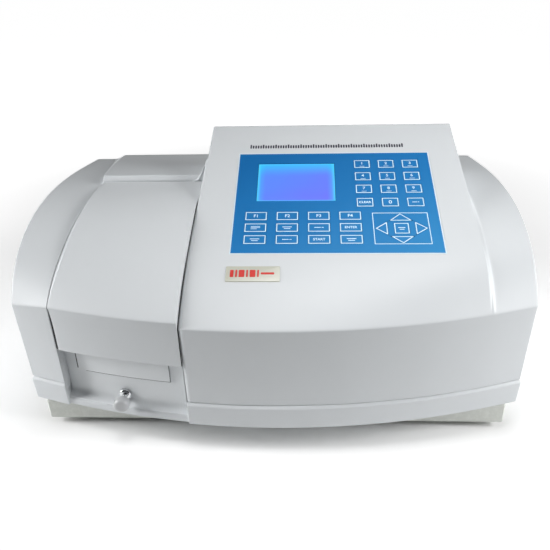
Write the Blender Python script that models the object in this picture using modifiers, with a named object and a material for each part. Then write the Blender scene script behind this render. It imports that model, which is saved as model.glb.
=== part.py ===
"""Double-beam bench spectrophotometer: case, sample bay, keypad and optical bench.

Metres, +Z up, +X along the length, -Y the front. The origin is on the bench under
the middle of the case. Dimensions are written in millimetres and scaled once, in
the helpers that make objects.
"""

import math

import bmesh
import bpy
import numpy as np
from mathutils import Matrix, Vector

MM = 0.001
GAP = 0.3  # clearance left between pieces that touch

# Case outline: the front is bowed, y = FRONT_Y + BOW * (x / HALF_WIDTH)^2.
HALF_WIDTH = 300.0
FRONT_Y = -213.75
BOW = 53.45
BACK_Y = 213.75
BASE_Z, LOWER_Z, UPPER_Z = 8.0, 37.0, 70.0
CREASE_Z = 172.7
LID_CREASE_Z = 179.5
WALL = 3.0
FADE = 60.0  # length over which the bow dies out behind the crease
# Side profile of the top: cubic Bezier control points (y, z) from crease to back.
ARCH = ((-160.3, CREASE_Z), (-106.2, 280.9), (68.0, 249.1), (BACK_Y, 227.8))
HOOD_RISE = (11.6, 6.3)  # rear deck above the arch, at its lip and at the back
LID_RISE = (LID_CREASE_Z - CREASE_Z, 4.1)
LIP_Y, LIP_TOP_Y, LIP_FOOT_Z, LIP_TOP_Z = 34.0, 38.0, 254.6, 260.0

# Keypad panel: a plane tilted about X, (x, v, n) in its own frame.
PANEL_SLOPE = math.radians(22.16)
PANEL_ORIGIN = (0.0, -104.0, 228.44)
PANEL_TOP_Y = 97.9
PANEL_JOIN_Y = -130.0
PANEL_LEFT = (-92.0, -87.3)  # edge at the join and at the top
PANEL_RIGHT = (244.8, 239.5)
PANEL_DRAFT = 4.0
OVERLAY = (-45.6, 201.0, -20.0, 156.0)
OVERLAY_THICK = 0.8
LCD = (-20.0, 79.0, 66.3, 136.6)
NUMBER_KEYS_X = (114.5, 145.3, 176.2)
NUMBER_KEYS_V = (134.0, 110.5, 87.0, 63.0)
NUMBER_KEY = (20.6, 15.4)
FUNCTION_KEYS_X = (-18.5, 19.5, 57.5, 95.3)
FUNCTION_KEYS_V = (40.0, 20.6, 1.3)
FUNCTION_KEY = (26.5, 14.2)
ARROW_PAD = (121.7, 188.0, -6.5, 44.7)
KEY_THICK = 1.6

# Sample bay under the lid, closed in front by a recessed plate.
BAY_LEFT = (-251.0, -236.3)  # at y = -176 and at the lip
BAY_RIGHT = -92.5
BAY_BACK_Y = 50.0
HINGE_Y, HINGE_Z = 26.0, 241.0
FLAP_Z = 122.0
RECESS = 17.0
SHELF_Z = 48.0
BEAM_Z = 105.0
SAMPLE_Y, REFERENCE_Y = -95.0, 4.0
CELL_PITCH = 20.0
CELL_X = -176.0
ROD_Z = 60.0
ROD_RADIUS = 2.5

FAN_CENTRE = (135.0, 197.0, 140.0)
SWITCH_CENTRE = (235.0, 207.5, 160.0)
GRATING_CENTRE = (0.0, -45.0)
MIRROR_CENTRE = (165.0, -45.0)
WHEEL_CENTRE = (117.5, -45.0, 83.0)
FEET = ((-245.0, -130.0), (245.0, -130.0), (-245.0, 170.0), (245.0, 170.0))


# ---------------------------------------------------------------- scene helpers
def clear_scene():
    """Removes every object that the file opened with."""
    for obj in list(bpy.data.objects):
        bpy.data.objects.remove(obj, do_unlink=True)


def collection(name):
    made = bpy.data.collections.new(name)
    bpy.context.scene.collection.children.link(made)
    return made


def finish(name, colour, roughness, metallic=0.0):
    """A Principled material in plain linear colour."""
    made = bpy.data.materials.new(name)
    made.use_nodes = True
    shader = made.node_tree.nodes["Principled BSDF"]
    shader.inputs["Base Color"].default_value = (*colour, 1.0)
    shader.inputs["Roughness"].default_value = roughness
    shader.inputs["Metallic"].default_value = metallic
    return made


def add_object(name, bm, material=None, origin=(0, 0, 0), tilt=0.0, smooth=None):
    """Turns a mesh in millimetres, about its own origin, into an object in metres."""
    bmesh.ops.recalc_face_normals(bm, faces=bm.faces)
    bmesh.ops.scale(bm, vec=(MM, MM, MM), verts=bm.verts)
    mesh = bpy.data.meshes.new(name)
    bm.to_mesh(mesh)
    bm.free()
    if smooth is not None:
        mesh.shade_smooth()
        mesh.set_sharp_from_angle(angle=math.radians(smooth))
    obj = bpy.data.objects.new(name, mesh)
    obj.location = Vector(origin) * MM
    obj.rotation_euler = (tilt, 0.0, 0.0)
    if material is None:
        obj.hide_render = True
        obj.display_type = "WIRE"
        CUTTERS.objects.link(obj)
    else:
        mesh.materials.append(material)
        PARTS.objects.link(obj)
    return obj


def boolean(obj, other, operation):
    modifier = obj.modifiers.new(operation.title(), "BOOLEAN")
    modifier.operation = operation
    modifier.solver = "EXACT"
    modifier.object = other


def cut(obj, *cutters):
    for cutter in cutters:
        boolean(obj, cutter, "DIFFERENCE")


def join(obj, *others):
    for other in others:
        boolean(obj, other, "UNION")


def bevel(obj, width, segments=2, angle=40.0):
    modifier = obj.modifiers.new("Bevel", "BEVEL")
    modifier.width = width * MM
    modifier.segments = segments
    modifier.limit_method = "ANGLE"
    modifier.angle_limit = math.radians(angle)


# ---------------------------------------------------------------- mesh helpers
def add_box(bm, x0, x1, y0, y1, z0, z1):
    centre = ((x0 + x1) / 2, (y0 + y1) / 2, (z0 + z1) / 2)
    size = Matrix.Diagonal((x1 - x0, y1 - y0, z1 - z0, 1.0))
    bmesh.ops.create_cube(bm, size=1.0, matrix=Matrix.Translation(centre) @ size)


def boxes(*limits):
    bm = bmesh.new()
    for each in limits:
        add_box(bm, *each)
    return bm


AXIS_TURN = {
    "X": Matrix.Rotation(math.pi / 2, 4, "Y"),
    "Y": Matrix.Rotation(-math.pi / 2, 4, "X"),
    "Z": Matrix.Identity(4),
}


def add_cylinder(bm, centre, radius, length, axis="Z", segments=24, radius_end=None):
    """A cylinder or cone of the given length, centred on centre."""
    end = radius if radius_end is None else radius_end
    bmesh.ops.create_cone(
        bm, cap_ends=True, segments=segments, radius1=radius, radius2=end, depth=length,
        matrix=Matrix.Translation(centre) @ AXIS_TURN[axis],
    )


def cylinders(*each, axis="Z", segments=24):
    bm = bmesh.new()
    for centre, radius, length in each:
        add_cylinder(bm, centre, radius, length, axis, segments)
    return bm


def prism(outline, low, high):
    """A straight prism on a plan outline of (x, y) points."""
    bm = bmesh.new()
    bottom = [bm.verts.new((x, y, low)) for x, y in outline]
    face = bm.faces.new(bottom)
    raised = bmesh.ops.extrude_face_region(bm, geom=[face])["geom"]
    top = [item for item in raised if isinstance(item, bmesh.types.BMVert)]
    bmesh.ops.translate(bm, vec=(0, 0, high - low), verts=top)
    return bm


def turned(name, profile, material, origin, turn=(0.0, 0.0, 0.0), steps=24):
    """A turned piece: (radius, height) points, top to bottom, spun about its own Z."""
    bm = bmesh.new()
    points = [bm.verts.new((radius, 0.0, height)) for radius, height in profile]
    for first, second in zip(points, points[1:]):
        bm.edges.new((first, second))
    obj = add_object(name, bm, material, origin)
    obj.rotation_euler = turn
    screw = obj.modifiers.new("Screw", "SCREW")
    screw.steps = screw.render_steps = steps
    screw.use_merge_vertices = True
    screw.merge_threshold = 0.00001
    return obj


# ---------------------------------------------------------------- case surfaces
def front(x, inset=0.0):
    """The bowed front at x, moved back by inset."""
    return FRONT_Y + BOW * (x / HALF_WIDTH) ** 2 + inset


def bay_left(y):
    """Left side of the bay, which narrows towards the hinge."""
    near, far = BAY_LEFT
    return near + (far - near) * (y + 176.0) / (LIP_Y + 176.0)


def lerp(pair, amount):
    return pair[0] + (pair[1] - pair[0]) * amount


def arch(y):
    """Height of the side profile at y, from its Bezier curve by bisection."""
    low, high = 0.0, 1.0
    for _ in range(40):
        t = (low + high) / 2
        weights = ((1 - t) ** 3, 3 * t * (1 - t) ** 2, 3 * t * t * (1 - t), t**3)
        if sum(w * p[0] for w, p in zip(weights, ARCH)) < y:
            low = t
        else:
            high = t
    return sum(w * p[1] for w, p in zip(weights, ARCH))


def fade(y):
    """1 at the crease, falling to 0 where the bow has died out."""
    return (1.0 - min(max((y - ARCH[0][0]) / FADE, 0.0), 1.0)) ** 2


def bowed(x, y):
    """Moves a profile point at y so that the crease follows the bowed front."""
    return y + (front(x) - ARCH[0][0]) * fade(y)


def cheek_height(x, y):
    """Top of a side cheek. The left one's crease climbs to meet the lid's."""
    climb = min(max((x + 300.0) / 49.0, 0.0), 1.0) if x < -200 else 0.0
    extra = lerp((1.3, LID_RISE[0]), climb) if x < -200 else 0.0
    return arch(y) + extra * fade(y)


def hood_height(y):
    amount = min(max((y - LIP_TOP_Y) / (BACK_Y - LIP_TOP_Y), 0.0), 1.0)
    return arch(y) + lerp(HOOD_RISE, amount)


def lid_height(y):
    amount = (y - ARCH[0][0]) / (LIP_Y - ARCH[0][0])
    return arch(y) + lerp(LID_RISE, min(max(amount, 0.0), 1.0))


def panel_height(x, y):
    """The keypad plane, curving down to the crease in front of its join."""
    plane = PANEL_ORIGIN[2] + (y - PANEL_ORIGIN[1]) * math.tan(PANEL_SLOPE)
    if y >= PANEL_JOIN_Y:
        return plane
    at_crease = PANEL_ORIGIN[2] + (front(x) - PANEL_ORIGIN[1]) * math.tan(PANEL_SLOPE)
    reach = (y - PANEL_JOIN_Y) / (front(x) - PANEL_JOIN_Y)
    return plane - (at_crease - CREASE_Z) * reach**2


def case_columns(inset):
    """Plan lines of the top, left to right: (kind, x at the join, x at the top)."""
    left, right = PANEL_LEFT, PANEL_RIGHT
    side, step = HALF_WIDTH - inset, inset
    return [
        ("cheek", -side, -side), ("cheek", -276.0, -276.0), ("cheek", -253.5, -253.5),
        ("cheek", -247.5 + step, -247.5 + step), ("hood", -238.0 + step, -238.0 + step),
        ("hood", -165.0, -165.0), ("hood", left[0] - 4 + step, left[0] - 4 + step),
        ("panel", left[0] + step, left[1] + step), ("panel", -45.0, -45.0),
        ("panel", 0.0, 0.0), ("panel", 60.0, 60.0), ("panel", 120.0, 120.0),
        ("panel", 180.0, 180.0), ("panel", right[0] - step, right[1] - step),
        ("edge", right[0] + 4 - step, right[0] + 4 - step),
        ("cheek", 262.0, 262.0), ("cheek", 281.0, 281.0), ("cheek", side, side),
    ]


def case_rows(inset):
    crease = [-160.3, -157.0, -150.5, -141.5, -131.0, -118.0, -100.3]
    rest = [-60.0, -20.0, 15.0, LIP_Y + inset, LIP_TOP_Y + inset, 66.0]
    back = [PANEL_TOP_Y - inset, PANEL_TOP_Y + 10 - inset, 140.0, 175.0, BACK_Y - inset]
    return crease + rest + back


def case_point(column, y, inset):
    """One point of the top surface, moved inwards by inset."""
    kind, x_join, x_top = column
    amount = min(max((y - PANEL_JOIN_Y) / (PANEL_TOP_Y - PANEL_JOIN_Y), 0.0), 1.0)
    x = lerp((x_join, x_top), amount)
    place = bowed(x, y)
    height = cheek_height(x, y)
    lip = LIP_Y + inset
    if kind == "hood" and y < lip - 1:
        height = lid_height(y)
    elif kind in ("hood", "panel") and y >= lip - 1:
        height = LIP_FOOT_Z if y < lip + 1 else hood_height(max(y, LIP_TOP_Y))
    if kind == "panel" and y <= PANEL_TOP_Y:
        height = panel_height(x, place)
    forward = inset * fade(y) * (y > ARCH[0][0] - 1)
    return (x, place + forward, height - inset)


def case_solid(name, inset, floor, foot_half, foot_front):
    """The upper case as a solid: its top surface on straight sides down to floor."""
    columns, rows = case_columns(inset), case_rows(inset)
    bm = bmesh.new()
    top = [[bm.verts.new(case_point(c, y, inset)) for y in rows] for c in columns]
    for near, far in zip(top, top[1:]):
        for k in range(len(rows) - 1):
            bm.faces.new((near[k], far[k], far[k + 1], near[k + 1]))
    count = len(columns)
    rim = [(i, 0) for i in range(count)] + [(count - 1, k) for k in range(1, len(rows))]
    rim += [(i, len(rows) - 1) for i in range(count - 2, -1, -1)]
    rim += [(0, k) for k in range(len(rows) - 2, 0, -1)]
    foot = []
    for i, k in rim:
        at = top[i][k].co
        x = at.x * foot_half / (HALF_WIDTH - inset)
        y = front(x, foot_front + inset) if k == 0 else at.y
        foot.append(bm.verts.new((x, y, floor)))
    ring = [top[i][k] for i, k in rim]
    for n in range(len(rim)):
        m = (n + 1) % len(rim)
        bm.faces.new((ring[n], foot[n], foot[m], ring[m]))
    bm.faces.new(foot)
    bmesh.ops.triangulate(bm, faces=[f for f in bm.faces if len(f.verts) == 4])
    return bm


def bow_outline(left, right, front_inset, back_inset=None, back_y=None, steps=8):
    """Plan outline between two x limits: bowed front, bowed or straight back."""
    count = np.linspace(0.0, 1.0, steps + 1)
    line = [(float(left + (right - left) * t), front_inset) for t in count]
    near = [(x, front(x, inset)) for x, inset in line]
    if back_inset is None:
        return near + [(right, back_y), (left, back_y)]
    return near + [(x, front(x, back_inset)) for x, _ in reversed(line)]


def bay_outline(margin, front_inset, back_y):
    """Plan outline of the bay, its tapering left side moved in by margin."""
    steps = np.linspace(0.0, 1.0, 9)
    start = bay_left(front(BAY_LEFT[0], front_inset)) + margin
    end = BAY_RIGHT - margin
    near = [(float(start + (end - start) * t),) for t in steps]
    line = [(x, front(x, front_inset)) for (x,) in near]
    return line + [(end, back_y), (bay_left(back_y) + margin, back_y)]


# ---------------------------------------------------------------- the case
def make_upper_case(material):
    case = add_object("upper_case", case_solid("case", 0.0, UPPER_Z, 297.1, 2.6), material)
    hollow = add_object("case_hollow", case_solid("hollow", WALL, 40.0, 294.1, 2.6))
    left, back = bay_left, BAY_BACK_Y
    left_wall = prism(
        [(left(-200.0) - WALL, -200.0), (left(-200.0), -200.0), (left(back), back),
         (left(back) - WALL, back)], 40.0, 300.0)
    walls = [
        add_object("bay_left_wall", left_wall),
        add_object("bay_right_wall", boxes(
            (BAY_RIGHT, BAY_RIGHT + WALL, -240.0, back, 40.0, 300.0))),
        add_object("bay_back_wall", boxes(
            (left(back) - 4.0, BAY_RIGHT + WALL, back, back + WALL, 40.0, 300.0))),
    ]
    cut(hollow, *walls)
    mouth = [(left(-260.0), -260.0), (BAY_RIGHT, -260.0), (BAY_RIGHT, LIP_Y), (left(LIP_Y), LIP_Y)]
    under_lip = [(left(33.0), 33.0), (BAY_RIGHT, 33.0), (BAY_RIGHT, 46.0), (left(46.0), 46.0)]
    x0, x1, v0, v1 = LCD
    windows = boxes(
        (x0 - 1, x1 + 1, v0 - 1, v1 + 1, -30, 30),
        (NUMBER_KEYS_X[0] - 12, NUMBER_KEYS_X[-1] + 12, 53.5, 143.5, -30, 30),
        (FUNCTION_KEYS_X[0] - 15, FUNCTION_KEYS_X[-1] + 15, -7.6, 48.8, -30, 30),
        (ARROW_PAD[0] - 1, ARROW_PAD[1] + 1, ARROW_PAD[2] - 1, 46.4, -30, 30),
    )
    o = OVERLAY
    seat = boxes((o[0] - 0.3, o[1] + 0.3, o[2] - 0.3, o[3] + 0.3, -OVERLAY_THICK, 40.0))
    holes = cylinders(
        ((-238.0, HINGE_Y, HINGE_Z), 2.9, 12.0), ((-91.0, HINGE_Y, HINGE_Z), 2.9, 12.0),
        ((-247.0, SAMPLE_Y, BEAM_Z), 8.0, 24.0), ((-91.0, SAMPLE_Y, BEAM_Z), 8.0, 12.0),
        ((-241.0, REFERENCE_Y, BEAM_Z), 8.0, 24.0), ((-91.0, REFERENCE_Y, BEAM_Z), 8.0, 12.0),
        axis="X")
    cut(
        case, hollow,
        add_object("bay_mouth", prism(mouth, 40.0, 320.0)),
        add_object("lip_relief", prism(under_lip, 200.0, LIP_FOOT_Z - 1.0)),
        add_object("keypad_windows", windows, origin=PANEL_ORIGIN, tilt=PANEL_SLOPE),
        add_object("overlay_seat", seat, origin=PANEL_ORIGIN, tilt=PANEL_SLOPE),
        add_object("bay_holes", holes),
        add_object("rear_window", boxes((72.0, 278.0, 205.0, 225.0, 90.0, 190.0))),
    )
    return case


def lofted_band(levels):
    """A closed solid through bowed outlines, each (z, half width, inset, back y)."""
    bm = bmesh.new()
    rings = []
    for z, half, inset, back in levels:
        outline = bow_outline(-half, half, inset, back_y=back, steps=14)
        rings.append([bm.verts.new((x, y, z)) for x, y in outline])
    for low, high in zip(rings, rings[1:]):
        for n in range(len(low)):
            m = (n + 1) % len(low)
            bm.faces.new((low[n], low[m], high[m], high[n]))
    bm.faces.new(rings[0])
    bm.faces.new(rings[-1])
    return bm


def make_lower_case(material):
    """Shallow tray with a proud ledge, stepped down to a shelf at the bay."""
    tray = add_object("lower_case", lofted_band((
        (LOWER_Z, 296.5, 1.65, 213.0), (66.4, 298.6, 0.0, 213.7),
        (UPPER_Z - GAP, 295.6, 3.3, 211.0))), material)
    hollow = add_object("tray_hollow", lofted_band((
        (LOWER_Z + WALL, 292.5, 5.0, 208.0), (90.0, 292.5, 6.4, 208.0))))
    shelf = add_object("shelf_block", prism(bay_outline(-WALL, -40.0, -100.0), 20.0, 100.0))
    behind = add_object("behind_shelf", prism(bay_outline(-20.0, RECESS - 0.5, -60.0), 10.0, 110.0))
    cut(shelf, behind)
    cut(hollow, shelf)
    recess = prism(bay_outline(0.0, -40.0, -100.0), SHELF_Z, 100.0)
    kerb = prism(bow_outline(bay_left(-178.0), BAY_RIGHT, -30.0, 4.0), 20.0, SHELF_Z + 1)
    cut(tray, hollow, add_object("recess", recess), add_object("kerb", kerb))
    return tray


def make_base(material, rubber):
    tray = add_object("base_tray", boxes((-284.3, 284.3, -165.5, 205.0, BASE_Z, LOWER_Z - GAP)),
                      material)
    bevel(tray, 2.0, 1)
    slots = [(x, x + 60.0, y, y + 5.0, 0.0, 20.0) for x in (-150.0, 90.0) for y in (0.0, 14.0, 28.0)]
    holes = cylinders(*[((x, y, BASE_Z), 3.4, 10.0) for x, y in FEET])
    cut(tray,
        add_object("base_hollow", boxes((-282.3, 282.3, -163.5, 203.0, BASE_Z + 2, 60.0))),
        add_object("base_slots", boxes(*slots)), add_object("foot_holes", holes))
    for number, (x, y) in enumerate(FEET, start=1):
        foot = ((0.0, 12.5), (3.0, 12.5), (3.0, BASE_Z - GAP), (11.0, BASE_Z - GAP),
                (12.0, 1.5), (11.0, 0.0), (0.0, 0.0))
        turned(f"foot_{number}", foot, rubber, (x, y, 0.0))


# ---------------------------------------------------------------- lid and bay
def lid_section(deep):
    """Profile of the lid, (kind, y, drop): over the outside, then back underneath."""
    rows = [-160.3, -157.0, -150.5, -141.5, -131.0, -118.0, -100.3, -60.0, -20.0, 12.0, 33.0]
    outside = [("flap", 0.0, 0.0)] + [("top", y, 0.0) for y in rows]
    inside = [("top", y, deep) for y in reversed(rows[1:])]
    inside += [("corner", 0.0, deep), ("flap", deep, 0.0)]
    return outside + inside


def lid_vertex(x_share, kind, y, drop):
    """A point of the lid; x is read off at the point's own y, so each end is flat."""
    base, height = y, lid_height(y) - drop
    if kind != "top":
        base, height = ARCH[0][0], FLAP_Z if kind == "flap" else LID_CREASE_Z - drop
    shift = 0.0 if kind == "top" else (y if kind == "flap" else drop)
    place = base
    for _ in range(12):
        left = bay_left(place) + 0.9
        x = left + (BAY_RIGHT - 1.2 - left) * x_share
        place = bowed(x, base) + shift
    return (x, place, height)


def make_lid(material):
    """Lid with a front flap, side flanges and two hinge pins, about its hinge."""
    bm = bmesh.new()
    shares = (0.0, 0.018, 0.02, 0.25, 0.5, 0.75, 0.98, 0.982, 1.0)
    rings = []
    for share in shares:
        deep = 3.0 if 0.019 < share < 0.981 else 12.0
        rings.append([bm.verts.new(lid_vertex(share, *point)) for point in lid_section(deep)])
    for near, far in zip(rings, rings[1:]):
        for n in range(len(near)):
            m = (n + 1) % len(near)
            bm.faces.new((near[n], near[m], far[m], far[n]))
    bm.faces.new(rings[0])
    bm.faces.new(list(reversed(rings[-1])))
    bmesh.ops.triangulate(bm, faces=bm.faces)
    origin = (0.0, HINGE_Y, HINGE_Z)
    bmesh.ops.translate(bm, vec=[-value for value in origin], verts=bm.verts)
    lid = add_object("sample_lid", bm, material, origin)
    left, right = bay_left(HINGE_Y) + 0.9, BAY_RIGHT - 1.2
    ears = cylinders(((left + 1.6, 0, 0), 5.5, 3.0), ((right - 1.6, 0, 0), 5.5, 3.0), axis="X")
    pins = cylinders(((left + 0.0, 0, 0), 2.5, 5.6), ((right + 0.0, 0, 0), 2.5, 5.6), axis="X")
    join(lid, add_object("lid_ears", ears, origin=origin), add_object("lid_pins", pins, origin=origin))
    return lid


def make_chamber(material):
    """Sample chamber: the recessed front plate, a tub behind it and a rim flange."""
    low, rim = LOWER_Z + 5.0, 165.0
    plate = add_object("sample_chamber", prism(
        bow_outline(bay_left(-156.0) + 0.5, BAY_RIGHT - 0.6, RECESS, RECESS + WALL), low, rim),
        material)
    tub = add_object("tub_wall", prism(bay_outline(5.0, RECESS + 1.0, 20.0), low, rim - 1))
    flange = add_object("rim_flange", prism(bay_outline(0.6, RECESS + 1.0, 49.4), rim - 3, rim))
    room = add_object("tub_room", prism(bay_outline(8.0, RECESS + WALL, 17.0), low + WALL, 180.0))
    doorway = add_object("doorway", prism(
        bow_outline(-231.4, -120.1, 5.0, 40.0), 89.6, 111.4))
    bush = add_object("rod_bush", cylinders(
        ((CELL_X, front(CELL_X, RECESS) - 1.0, ROD_Z), 6.5, 8.0), axis="Y"))
    holes = cylinders(((CELL_X, front(CELL_X, RECESS), ROD_Z), 2.8, 30.0), axis="Y")
    beams = cylinders(*[((x, y, BEAM_Z), 6.0, 30.0)
                        for x in (-240.0, -101.0) for y in (SAMPLE_Y, REFERENCE_Y)], axis="X")
    join(plate, tub, flange)
    cut(plate, room)
    join(plate, bush)
    cut(plate, doorway, add_object("rod_bore", holes), add_object("beam_ports", beams))
    return plate


def make_access_plate(material):
    door = add_object("access_plate", prism(
        bow_outline(-235.5, -116.0, RECESS - 2.3, RECESS - GAP), 86.0, 115.0), material)
    boss = prism(bow_outline(-231.0, -120.5, RECESS - 0.8, RECESS + 2.5), 90.0, 111.0)
    join(door, add_object("door_boss", boss))
    return door


def make_cell_slide(metal, knob_finish, holder_finish):
    """Pull rod, its knob and the four-cell carriage, which slide together."""
    length = 92.5
    rod = cylinders(((0, 0, 0), ROD_RADIUS, length), axis="Y", segments=20)
    add_object("pull_rod", rod, metal, (CELL_X, -199.5 + length / 2, ROD_Z), smooth=40)
    knob = ((0.0, -1.5), (2.8, -1.5), (2.8, 6.5), (7.5, 6.5), (8.8, 5.2), (9.5, 0.0),
            (9.1, -4.2), (7.6, -6.2), (0.0, -6.8))
    turned("pull_knob", knob, knob_finish, (CELL_X, -198.5, ROD_Z), (-math.pi / 2, 0, 0))
    near = SAMPLE_Y - 12.0
    block = add_object("cell_carriage", boxes(
        (-11.0, 11.0, 0.0, 3 * CELL_PITCH + 24.0, -59.0, 13.0)), holder_finish,
        (CELL_X, near, BEAM_Z))
    wells, slots = [], []
    for cell in range(4):
        y = 12.0 + cell * CELL_PITCH
        wells.append((-6.5, 6.5, y - 6.5, y + 6.5, -17.0, 30.0))
        slots.append((-20.0, 20.0, y - 2.5, y + 2.5, -13.0, 8.0))
    place = (CELL_X, near, BEAM_Z)
    socket = cylinders(((0, 3.5, ROD_Z - BEAM_Z), 2.8, 9.0), axis="Y")
    cut(block, add_object("cell_wells", boxes(*wells), origin=place),
        add_object("cell_slots", boxes(*slots), origin=place),
        add_object("rod_socket", socket, origin=place))
    place = (CELL_X, REFERENCE_Y, BEAM_Z)
    holder = add_object("reference_holder", boxes((-11, 11, -10, 10, -59, 13)), holder_finish, place)
    cut(holder, add_object("reference_well", boxes((-6.5, 6.5, -6.5, 6.5, -17, 30)), origin=place),
        add_object("reference_slot", boxes((-20, 20, -2.5, 2.5, -13, 8)), origin=place))


# ---------------------------------------------------------------- keypad
def key_outlines():
    """Every key as (name, list of (x, v) corners), in the panel's frame."""
    keys = []
    for name, xs, vs, (wide, high) in (
        ("number_key", NUMBER_KEYS_X, NUMBER_KEYS_V, NUMBER_KEY),
        ("function_key", FUNCTION_KEYS_X, FUNCTION_KEYS_V, FUNCTION_KEY),
    ):
        for place, (v, x) in enumerate((v, x) for v in vs for x in xs):
            corners = [(x + a * wide / 2, v + b * high / 2)
                       for a, b in ((-1, -1), (1, -1), (1, 1), (-1, 1))]
            keys.append((f"{name}_{place + 1:02d}", corners))
    keys += [
        ("arrow_key_up", [(140.6, 31.0), (169.4, 31.0), (155.0, 43.8)]),
        ("arrow_key_down", [(140.6, 6.2), (155.0, -5.6), (169.4, 6.2)]),
        ("arrow_key_left", [(123.6, 18.8), (138.6, 7.8), (138.6, 29.8)]),
        ("arrow_key_right", [(171.2, 7.8), (186.4, 18.8), (171.2, 29.8)]),
        ("enter_key", [(146.2, 9.9), (164.0, 9.9), (164.0, 27.6), (146.2, 27.6)]),
    ]
    return keys


def offset_corners(corners, distance):
    """Moves each side of a convex outline outwards by distance."""
    count, moved = len(corners), []
    for n in range(count):
        here = Vector(corners[n])
        before = (here - Vector(corners[n - 1])).normalized()
        after = (Vector(corners[(n + 1) % count]) - here).normalized()
        normal = (Vector((before.y, -before.x)) + Vector((after.y, -after.x)))
        scale = distance * 2.0 / normal.length_squared
        moved.append(tuple(here + normal * scale))
    return moved


def panel_point(x, v, n=0.0):
    cos, sin = math.cos(PANEL_SLOPE), math.sin(PANEL_SLOPE)
    origin = PANEL_ORIGIN
    return (x, origin[1] + v * cos - n * sin, origin[2] + v * sin + n * cos)


def make_keypad(sheet_finish, key_finish):
    """The printed overlay and, in its cut-outs, one short-travel tile per key."""
    o = OVERLAY
    overlay = add_object("keypad_overlay", boxes((o[0], o[1], o[2], o[3], -0.5, 0.3)),
                         sheet_finish, PANEL_ORIGIN, PANEL_SLOPE)
    openings = bmesh.new()
    x0, x1, v0, v1 = LCD
    add_box(openings, x0, x1, v0, v1, -5, 5)
    for name, corners in key_outlines():
        hole = prism(offset_corners(corners, GAP), -5.0, 5.0)
        mesh = bpy.data.meshes.new(name + "_hole")
        hole.to_mesh(mesh)
        hole.free()
        openings.from_mesh(mesh)
        middle = [sum(values) / len(corners) for values in zip(*corners)]
        local = [(x - middle[0], v - middle[1]) for x, v in corners]
        tile = prism(local, 0.45 - KEY_THICK, 0.45)
        add_object(name, tile, key_finish, panel_point(*middle), PANEL_SLOPE)
    cut(overlay, add_object("key_openings", openings, origin=PANEL_ORIGIN, tilt=PANEL_SLOPE))


def make_electronics(glass, board_finish, chip_finish):
    x0, x1, v0, v1 = LCD
    module = add_object("display_module", boxes(
        (x0 + 0.4, x1 - 0.4, v0 + 0.4, v1 - 0.4, -9.0, -1.2)), glass, PANEL_ORIGIN, PANEL_SLOPE)
    join(module, add_object("display_frame", boxes(
        (x0 - 5, x1 + 5, v0 - 5, v1 + 5, -9.5, -4.5)), origin=PANEL_ORIGIN, tilt=PANEL_SLOPE))
    board = add_object("control_board", boxes((-50, 198, -16, 156, -16.6, -15.0)), board_finish,
                       PANEL_ORIGIN, PANEL_SLOPE)
    chips = boxes((20, 50, 90, 120, -18.6, -16.0), (110, 135, 60, 75, -18.6, -16.0),
                  (-30, 10, 10, 22, -22.0, -16.0), (70, 90, 20, 40, -18.2, -16.0),
                  (108, 188, -10, 146, -15.5, -6.0), (-34, 106, -10, 50, -15.5, -6.0),
                  (-24, 84, 60, 142, -15.5, -9.9))
    join(board, add_object("board_parts", chips, origin=PANEL_ORIGIN, tilt=PANEL_SLOPE))
    detector = add_object("detector_board", boxes((-279, -276, -130, 40, 42, 150)), chip_finish)
    cans = cylinders(((-271.0, SAMPLE_Y, BEAM_Z), 9.0, 12.0),
                     ((-271.0, REFERENCE_Y, BEAM_Z), 9.0, 12.0), axis="X")
    join(detector, add_object("detector_cans", cans))


# ---------------------------------------------------------------- optical bench
def make_optics(cast, mirror, filter_finish):
    floor = LOWER_Z + WALL + 0.4
    housing = add_object("monochromator_housing", boxes((-80, 110, -140, 60, floor, 140)), cast)
    beams = cylinders(((-80.0, SAMPLE_Y, BEAM_Z), 6.0, 20.0),
                      ((-80.0, REFERENCE_Y, BEAM_Z), 6.0, 20.0),
                      ((110.0, WHEEL_CENTRE[1], BEAM_Z), 6.0, 20.0), axis="X")
    cut(housing, add_object("housing_room", boxes((-75, 105, -135, 55, floor + 5, 160))),
        add_object("housing_ports", beams))
    x, y = GRATING_CENTRE
    table = add_object("grating_table", cylinders(((0, 0, 0), 26.0, 5.0), segments=32), cast,
                       (x, y, 70.0), smooth=40)
    join(table, add_object("grating_block", boxes((-19, 19, -4, 4, 1, 45)), origin=(x, y, 70)),
         add_object("grating_shaft", cylinders(((0, 0, -13), 5.0, 23.0)), origin=(x, y, 70)))
    wheel = add_object("filter_wheel", cylinders(((0, 0, 0), 30.0, 4.0), axis="X", segments=36),
                       filter_finish, WHEEL_CENTRE, smooth=40)
    ring = [((0, 22 * math.cos(k * math.pi / 3), 22 * math.sin(k * math.pi / 3)), 7.0, 20.0)
            for k in (0.5, 1.5, 2.5, 3.5, 4.5, 5.5)]
    cut(wheel, add_object("filter_holes", cylinders(*ring, ((0, 0, 0), 3.0, 20.0), axis="X"),
                          origin=WHEEL_CENTRE))
    x, y = MIRROR_CENTRE
    stand = add_object("source_mirror", cylinders(((0, 0, -27), 6.0, 46.0)), mirror, (x, y, BEAM_Z),
                       smooth=40)
    glass = add_object("mirror_plate", boxes((-14, 14, -2, 2, -14, 18)), origin=(x, y, BEAM_Z))
    glass.rotation_euler = (0, 0, math.radians(45))
    join(stand, glass)


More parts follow.
